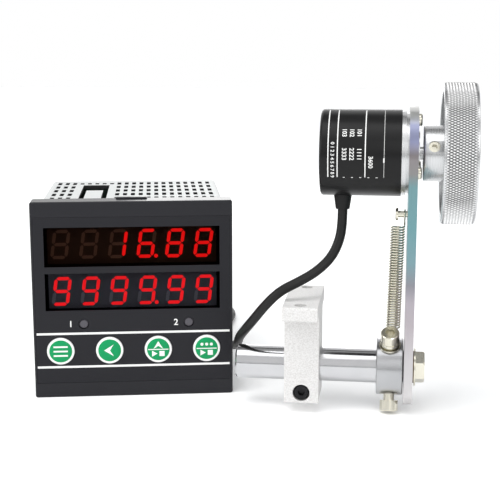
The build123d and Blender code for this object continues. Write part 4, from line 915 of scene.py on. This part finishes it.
def turned_words(text, height, along, up):
    """A short text that reads downwards, as on a label printed across a round cover."""
    mesh = letters(text, height, "LEFT", PRINT_T)
    lift = PRINT_T / 2 + 0.01
    mesh.transform(Matrix.Translation((along, up, lift)) @ Matrix.Rotation(-math.pi / 2, 4, "Z"))
    return mesh


NUMBER_H = 1.9
table = [turned_words("0 1 2 3 4 5 6 7 8 9", 1.5, 5.9, 6.5), turned_words("3600", NUMBER_H, 22.6, 0.5)]
for row, along in enumerate((17.6, 14.3, 11.0)):
    table.append(turned_words(str(101 + row), NUMBER_H, along, 13.0))
    table.append(turned_words(str(1111 * (row + 1)), NUMBER_H, along, 4.0))
label_numbers = wrapped(joined("label_numbers", table))
as_object("label_numbers", label_numbers, "arm", [print_white])
print("label", len(label_lines), "strips,", len(table), "numbers, cover radius", round(COVER_R, 2), "mm")

# %% [markdown]
# ## The measuring wheel
# The real wheel is turned from aluminium: a rim, a thin web and a hub that is screwed to
# the axle. It could be put together from cylinders, but the seams would show. One profile,
# turned about the axle, gives every edge its small bevel.

# %% The wheel
WHEEL_R = (WHEEL_HIGH.z - WHEEL_LOW.z) / 2 / MM
HUB_X = (WHEEL_LOW.x - ARM_FACE) / MM
WHEEL_END_X = (WHEEL_HIGH.x - ARM_FACE) / MM
WHEEL_X = WHEEL_END_X - 15.0
HUB_R = 12.6
SHAFT_R = 3.0
RIM_T = 4.0
WEB = (WHEEL_END_X - 5.0, WHEEL_END_X - 1.0)
WHEEL_STEPS = 192
KNURLS_ROUND = 160
KNURL_ROWS = 10
KNURL_H = 0.5
BAND_EDGE = 0.5
AXLE_Z = WHEEL_AXIS.z / MM


def wheel_spot(x, radius, turn):
    """A place on the wheel: along the axle, out from it and round it."""
    return spot(x, radius * math.cos(turn), AXLE_Z + radius * math.sin(turn))


def wheel_mesh():
    """A profile turned about the axle, as pairs of a place along it and a radius."""
    inner = WHEEL_R - RIM_T
    bore = SHAFT_R + 0.05
    base = WHEEL_R - KNURL_H
    profile = [
        (HUB_X + 16.8, 0.01), (HUB_X + 16, bore), (HUB_X + 0.4, bore), (HUB_X, bore + 0.4),
        (HUB_X, HUB_R - 0.8), (HUB_X + 0.23, HUB_R - 0.23), (HUB_X + 0.8, HUB_R),
        (WEB[0] - 1.0, HUB_R), (WEB[0], HUB_R + 1.0), (WEB[0], inner - 0.8), (WEB[0] - 0.8, inner),
        (WHEEL_X + 0.25, inner), (WHEEL_X, inner + 0.25), (WHEEL_X, base - 0.2), (WHEEL_X + 0.2, base),
        (WHEEL_END_X - 0.2, base), (WHEEL_END_X, base - 0.2), (WHEEL_END_X, inner + 0.25),
        (WHEEL_END_X - 0.25, inner), (WEB[1] + 0.5, inner), (WEB[1], inner - 0.5), (WEB[1], 0.01),
    ]
    turns = [2 * math.pi * step / WHEEL_STEPS for step in range(WHEEL_STEPS)]
    shape = bmesh.new()
    rings = [[shape.verts.new(wheel_spot(x, radius, turn)) for turn in turns] for x, radius in profile]
    join_rings(shape, rings)
    bmesh.ops.remove_doubles(shape, verts=shape.verts, dist=0.00002)
    bmesh.ops.recalc_face_normals(shape, faces=shape.faces)
    return baked("wheel_body", shape)


print("wheel radius", round(WHEEL_R, 3), "mm, rim", round(WHEEL_END_X - WHEEL_X, 2), "mm wide")

# %% [markdown]
# ### The knurling
# Crossing diagonal cuts leave rows of small pyramids on the rim, which grip the material.
# A bump could hint at them, but the rim's edge would stay smooth. A node tree sets 160
# cones of four sides round the rim in ten rows, every second row half a step on.

# %% The knurling's tree and finish
def knurl_nodes():
    """Pyramids in staggered rows on a cylinder round the x axis, each a cone of four sides."""
    tree = new_tree("knurling", {
        "Radius": "NodeSocketFloat", "Start": "NodeSocketFloat", "Row Pitch": "NodeSocketFloat",
        "Round": "NodeSocketInt", "Rows": "NodeSocketInt", "Height": "NodeSocketFloat",
        "Material": "NodeSocketMaterial"})
    given = add_node(tree, "NodeGroupInput").outputs
    known = {name: given[name] for name in ("Radius", "Start", "Row Pitch", "Round", "Rows")}
    known["index"] = add_node(tree, "GeometryNodeInputIndex")
    # Each sum: what it finds, how, and from which two values, known by name or written out.
    sums = (
        ("count", "MULTIPLY", "Round", "Rows"), ("rounds", "DIVIDE", "index", "Round"),
        ("row", "FLOOR", "rounds", 0.0), ("odd", "MODULO", "row", 2.0),
        ("stagger", "MULTIPLY", "odd", 0.5), ("place", "ADD", "index", "stagger"),
        ("share", "DIVIDE", "place", "Round"), ("turn", "MULTIPLY", "share", 2 * math.pi),
        ("rows on", "MULTIPLY", "row", "Row Pitch"), ("along", "ADD", "Start", "rows on"),
        ("cosine", "COSINE", "turn", 0.0), ("across", "MULTIPLY", "cosine", "Radius"),
        ("sine", "SINE", "turn", 0.0), ("up", "MULTIPLY", "sine", "Radius"),
        ("lean", "SUBTRACT", "turn", math.pi / 2), ("half rim", "MULTIPLY", "Radius", math.pi),
        ("half arc", "DIVIDE", "half rim", "Round"),
    )
    for name, operation, first, second in sums:
        inputs = {0: known.get(first, first), 1: known.get(second, second)}
        known[name] = add_node(tree, "ShaderNodeMath", inputs, operation=operation)
    on_rim = {"X": known["along"], "Y": known["across"], "Z": known["up"]}
    place = add_node(tree, "ShaderNodeCombineXYZ", on_rim)
    points = add_node(tree, "GeometryNodePoints", {"Count": known["count"], "Position": place})
    sides = {"Vertices": 4, "Radius Top": 0.0, "Radius Bottom": 1.0, "Depth": 1.0}
    cone = add_node(tree, "GeometryNodeMeshCone", sides, fill_type="NONE")
    rotation = add_node(tree, "ShaderNodeCombineXYZ", {"X": known["lean"]})
    reach = {"X": given["Row Pitch"], "Y": known["half arc"], "Z": given["Height"]}
    size = add_node(tree, "ShaderNodeCombineXYZ", reach)
    placed = add_node(tree, "GeometryNodeInstanceOnPoints", {
        "Points": points, "Instance": cone, "Rotation": rotation, "Scale": size})
    return closed_tree(tree, placed, given["Material"])


def knurl_painted_groove_shade():
    """Aluminium with painted shade: dark in the grooves of the knurling and bright on its points."""
    material, place = new_material("knurled aluminium, painted groove shade")
    _, radius = off_axle(material, place, AXLE_LINE)
    low, high = (WHEEL_R - KNURL_H) * MM, (WHEEL_R - KNURL_H * 0.4) * MM
    span = {"Value": radius, "From Min": low, "From Max": high}
    height = add_node(material, "ShaderNodeMapRange", span)
    # Painted shade: the grooves take the dark tone, the points the bright one.
    tones = {0: height, 6: colour("#3e4043"), 7: colour("#f2f2f2")}
    tone = add_node(material, "ShaderNodeMix", tones, data_type="RGBA").outputs[2]
    rough = add_node(material, "ShaderNodeMapRange", {"Value": height, "To Min": 0.5, "To Max": 0.3})
    return coated(material, {"Base Color": tone, "Metallic": 1.0, "Roughness": rough})


row_pitch = (WHEEL_END_X - WHEEL_X - 2 * BAND_EDGE) / (KNURL_ROWS + 1)
knurl_sizes = {
    "Radius": (WHEEL_R - KNURL_H) * MM, "Start": (WHEEL_X + BAND_EDGE + row_pitch) * MM,
    "Row Pitch": row_pitch * MM, "Round": KNURLS_ROUND, "Rows": KNURL_ROWS, "Height": KNURL_H * MM,
    "Material": knurl_painted_groove_shade()}
knurl_holder = bpy.data.objects.new("knurls", bpy.data.meshes.new("knurls"))
knurls = grown("knurls", knurl_holder, knurl_nodes(), knurl_sizes)
knurls.transform(Matrix.Translation(spot(0, 0, AXLE_Z)))
as_object("knurling", knurls, "wheel", [])

# %% [markdown]
# ### The wheel's body
# Two set screws through the hub hold the wheel to its axle. Their holes could be painted
# as dark spots, but a real hole shows its wall and its screw. So each is cut with a drill.

# %% The wheel's body and its set screw holes
SET_SCREW_X = HUB_X + 4.6
SET_SCREW_R = 2.55
SET_SCREW_ANGLES = (20, 110)
DRILL_FROM, DRILL_TO = SHAFT_R - 0.5, HUB_R + 2


def drill(piece, start, end, radius):
    """Cut a round hole from start to end."""
    shape = bmesh.new()
    depth = (end - start).length
    turn = (end - start).to_track_quat("Z", "Y").to_matrix().to_4x4()
    place = Matrix.Translation((start + end) / 2) @ turn
    bmesh.ops.create_cone(shape, cap_ends=True, segments=32, radius1=radius, radius2=radius,
                          depth=depth, matrix=place)
    cutter = linked("drill", baked("drill", shape))
    modifier = piece.modifiers.new("hole", "BOOLEAN")
    modifier.operation = "DIFFERENCE"
    modifier.solver = "EXACT"
    modifier.object = cutter
    depsgraph = bpy.context.evaluated_depsgraph_get()
    evaluated = piece.evaluated_get(depsgraph)
    mesh = bpy.data.meshes.new_from_object(evaluated, depsgraph=depsgraph)
    piece.modifiers.remove(modifier)
    piece.data = mesh
    bpy.data.objects.remove(cutter)


wheel = as_object("wheel_body", wheel_mesh(), None, [aluminium])
for angle in SET_SCREW_ANGLES:
    out = Vector((0, -math.cos(math.radians(angle)), math.sin(math.radians(angle))))
    middle = spot(SET_SCREW_X, 0, AXLE_Z)
    drill(wheel, middle + out * DRILL_FROM * MM, middle + out * DRILL_TO * MM, SET_SCREW_R * MM)
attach(wheel, "wheel")
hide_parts("measuring_wheel")
shade_smooth(wheel, 25)
print("wheel", len(wheel.data.polygons), "faces, knurling", len(knurls.polygons))

# %% [markdown]
# ## The spring
# A wire spring pulls the wheel on to the material. It could be wound again with nodes,
# but the CAD model already holds its turns. They are made one piece here. On the real
# unit its foot stays on the collar while its head follows the arm.

# %% The spring
spring = as_object("spring", nodes["tension_spring"].data.copy(), None, [])
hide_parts("tension_spring")
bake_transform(spring)
print("spring", len(spring.data.polygons), "faces")

# %% [markdown]
# ## Light and floor
# The photograph is lit from all round, with hardly a shadow. One strong lamp would give
# hard edges, so four soft lamps and one even light stand round the object, at a plain
# level at which a colour renders about as it is written.

# %% Light
def softbox(name, place, target, size, power):
    """A square lamp that the camera doesn't see: its place, what it faces, its size in metres."""
    data = bpy.data.lights.new(name, "AREA")
    data.size = size
    data.energy = power
    lamp = linked(name, data)
    lamp.location = spot(*place)
    aim(lamp, spot(*target) - spot(*place))
    lamp.visible_camera = False


MIDDLE = (-70, 40, 70)
softbox("overhead light", (-200, -250, 900), MIDDLE, 0.6, 2.2)
softbox("front light", (350, -900, 550), MIDDLE, 0.5, 2.0)
softbox("left light", (-700, -350, 350), MIDDLE, 0.4, 1.2)
softbox("rear light", (-160, 900, 260), MIDDLE, 0.35, 0.6)

sun_data = bpy.data.lights.new("even light", "SUN")
sun_data.energy = 1.35
sun_data.angle = math.radians(50)
sun = linked("even light", sun_data)
aim(sun, Vector((0.25, 0.45, -1.0)))
sun.visible_glossy = False
print("lamps:", len(bpy.data.lights))

# %% [markdown]
# ## The sky
# The background is white to the camera and soft to the plastic. Polished metal mirrors
# what stands round it, and an all white sky would leave it flat. Dark cards could stand
# round the object, but they would suit one view only. So for gloss the sky itself has a
# thin dark line at the horizon, one high up and a grey top, the same from every side. The
# price is that metal mirrors a sky which the camera doesn't see.

# %% Background
# Pairs of a height, 0 at the horizon and 1 straight up, and how bright the sky is there.
SKY = ((0.0, 0.08), (0.035, 0.08), (0.06, 0.9), (0.3, 0.95), (0.78, 0.9), (0.81, 0.03), (0.86, 0.03),
       (0.89, 0.4), (1.0, 0.5))
SOFT_LIGHT = 0.5

world = bpy.data.worlds.new("studio")
bpy.context.scene.world = world
world.use_nodes = True
world.node_tree.nodes.clear()
rays = add_node(world, "ShaderNodeLightPath").outputs
direction = add_node(world, "ShaderNodeTexCoord").outputs["Generated"]
height = add_node(world, "ShaderNodeSeparateXYZ", {0: direction}).outputs[2]
bands = add_node(world, "ShaderNodeValToRGB", {0: height})
set_stops(bands, [(position, (value, value, value, 1)) for position, value in SKY])
white, banded, soft = [
    add_node(world, "ShaderNodeBackground", {"Color": tone, "Strength": strength})
    for tone, strength in (((1, 1, 1, 1), 1.0), (bands, 1.0), ((0.96, 0.98, 1.0, 1), SOFT_LIGHT))]
to_metal = add_node(world, "ShaderNodeMixShader", {0: rays["Is Glossy Ray"], 1: soft, 2: banded})
to_camera = add_node(world, "ShaderNodeMixShader", {0: rays["Is Camera Ray"], 1: to_metal, 2: white})
add_node(world, "ShaderNodeOutputWorld", {"Surface": to_camera})
print("sky with", len(SKY), "stops")

# %% [markdown]
# ## The floor
# The object stands on a white sheet. A bare plane would turn grey beside the white
# background, so its paint gives off a little light of its own, and keeps the shadow.

# %% Floor
FLOOR_HALF = 3.0
corners = [(x * FLOOR_HALF, y * FLOOR_HALF, 0) for x, y in ((-1, -1), (1, -1), (1, 1), (-1, 1))]
floor_mesh = bpy.data.meshes.new("floor")
floor_mesh.from_pydata(corners, [], [(0, 1, 2, 3)])
floor = linked("floor", floor_mesh)
floor_paint, floor_place = new_material("pale floor")
floor_grain = add_node(floor_paint, "ShaderNodeTexNoise", specks(floor_place, 40.0))
floor_tones = {0: floor_grain, 6: colour("#ffffff"), 7: colour("#fdfdfd")}
floor_tone = add_node(floor_paint, "ShaderNodeMix", floor_tones, data_type="RGBA").outputs[2]
coated(floor_paint, {"Base Color": floor_tone, "Roughness": 0.8, "Specular IOR Level": 0.1,
                     "Emission Color": floor_tone, "Emission Strength": 0.16})
floor_paint.cycles.emission_sampling = "NONE"
floor_mesh.materials.append(floor_paint)
print("floor", 2 * FLOOR_HALF, "m wide")
bpy.context.scene.view_settings.view_transform = "Standard"
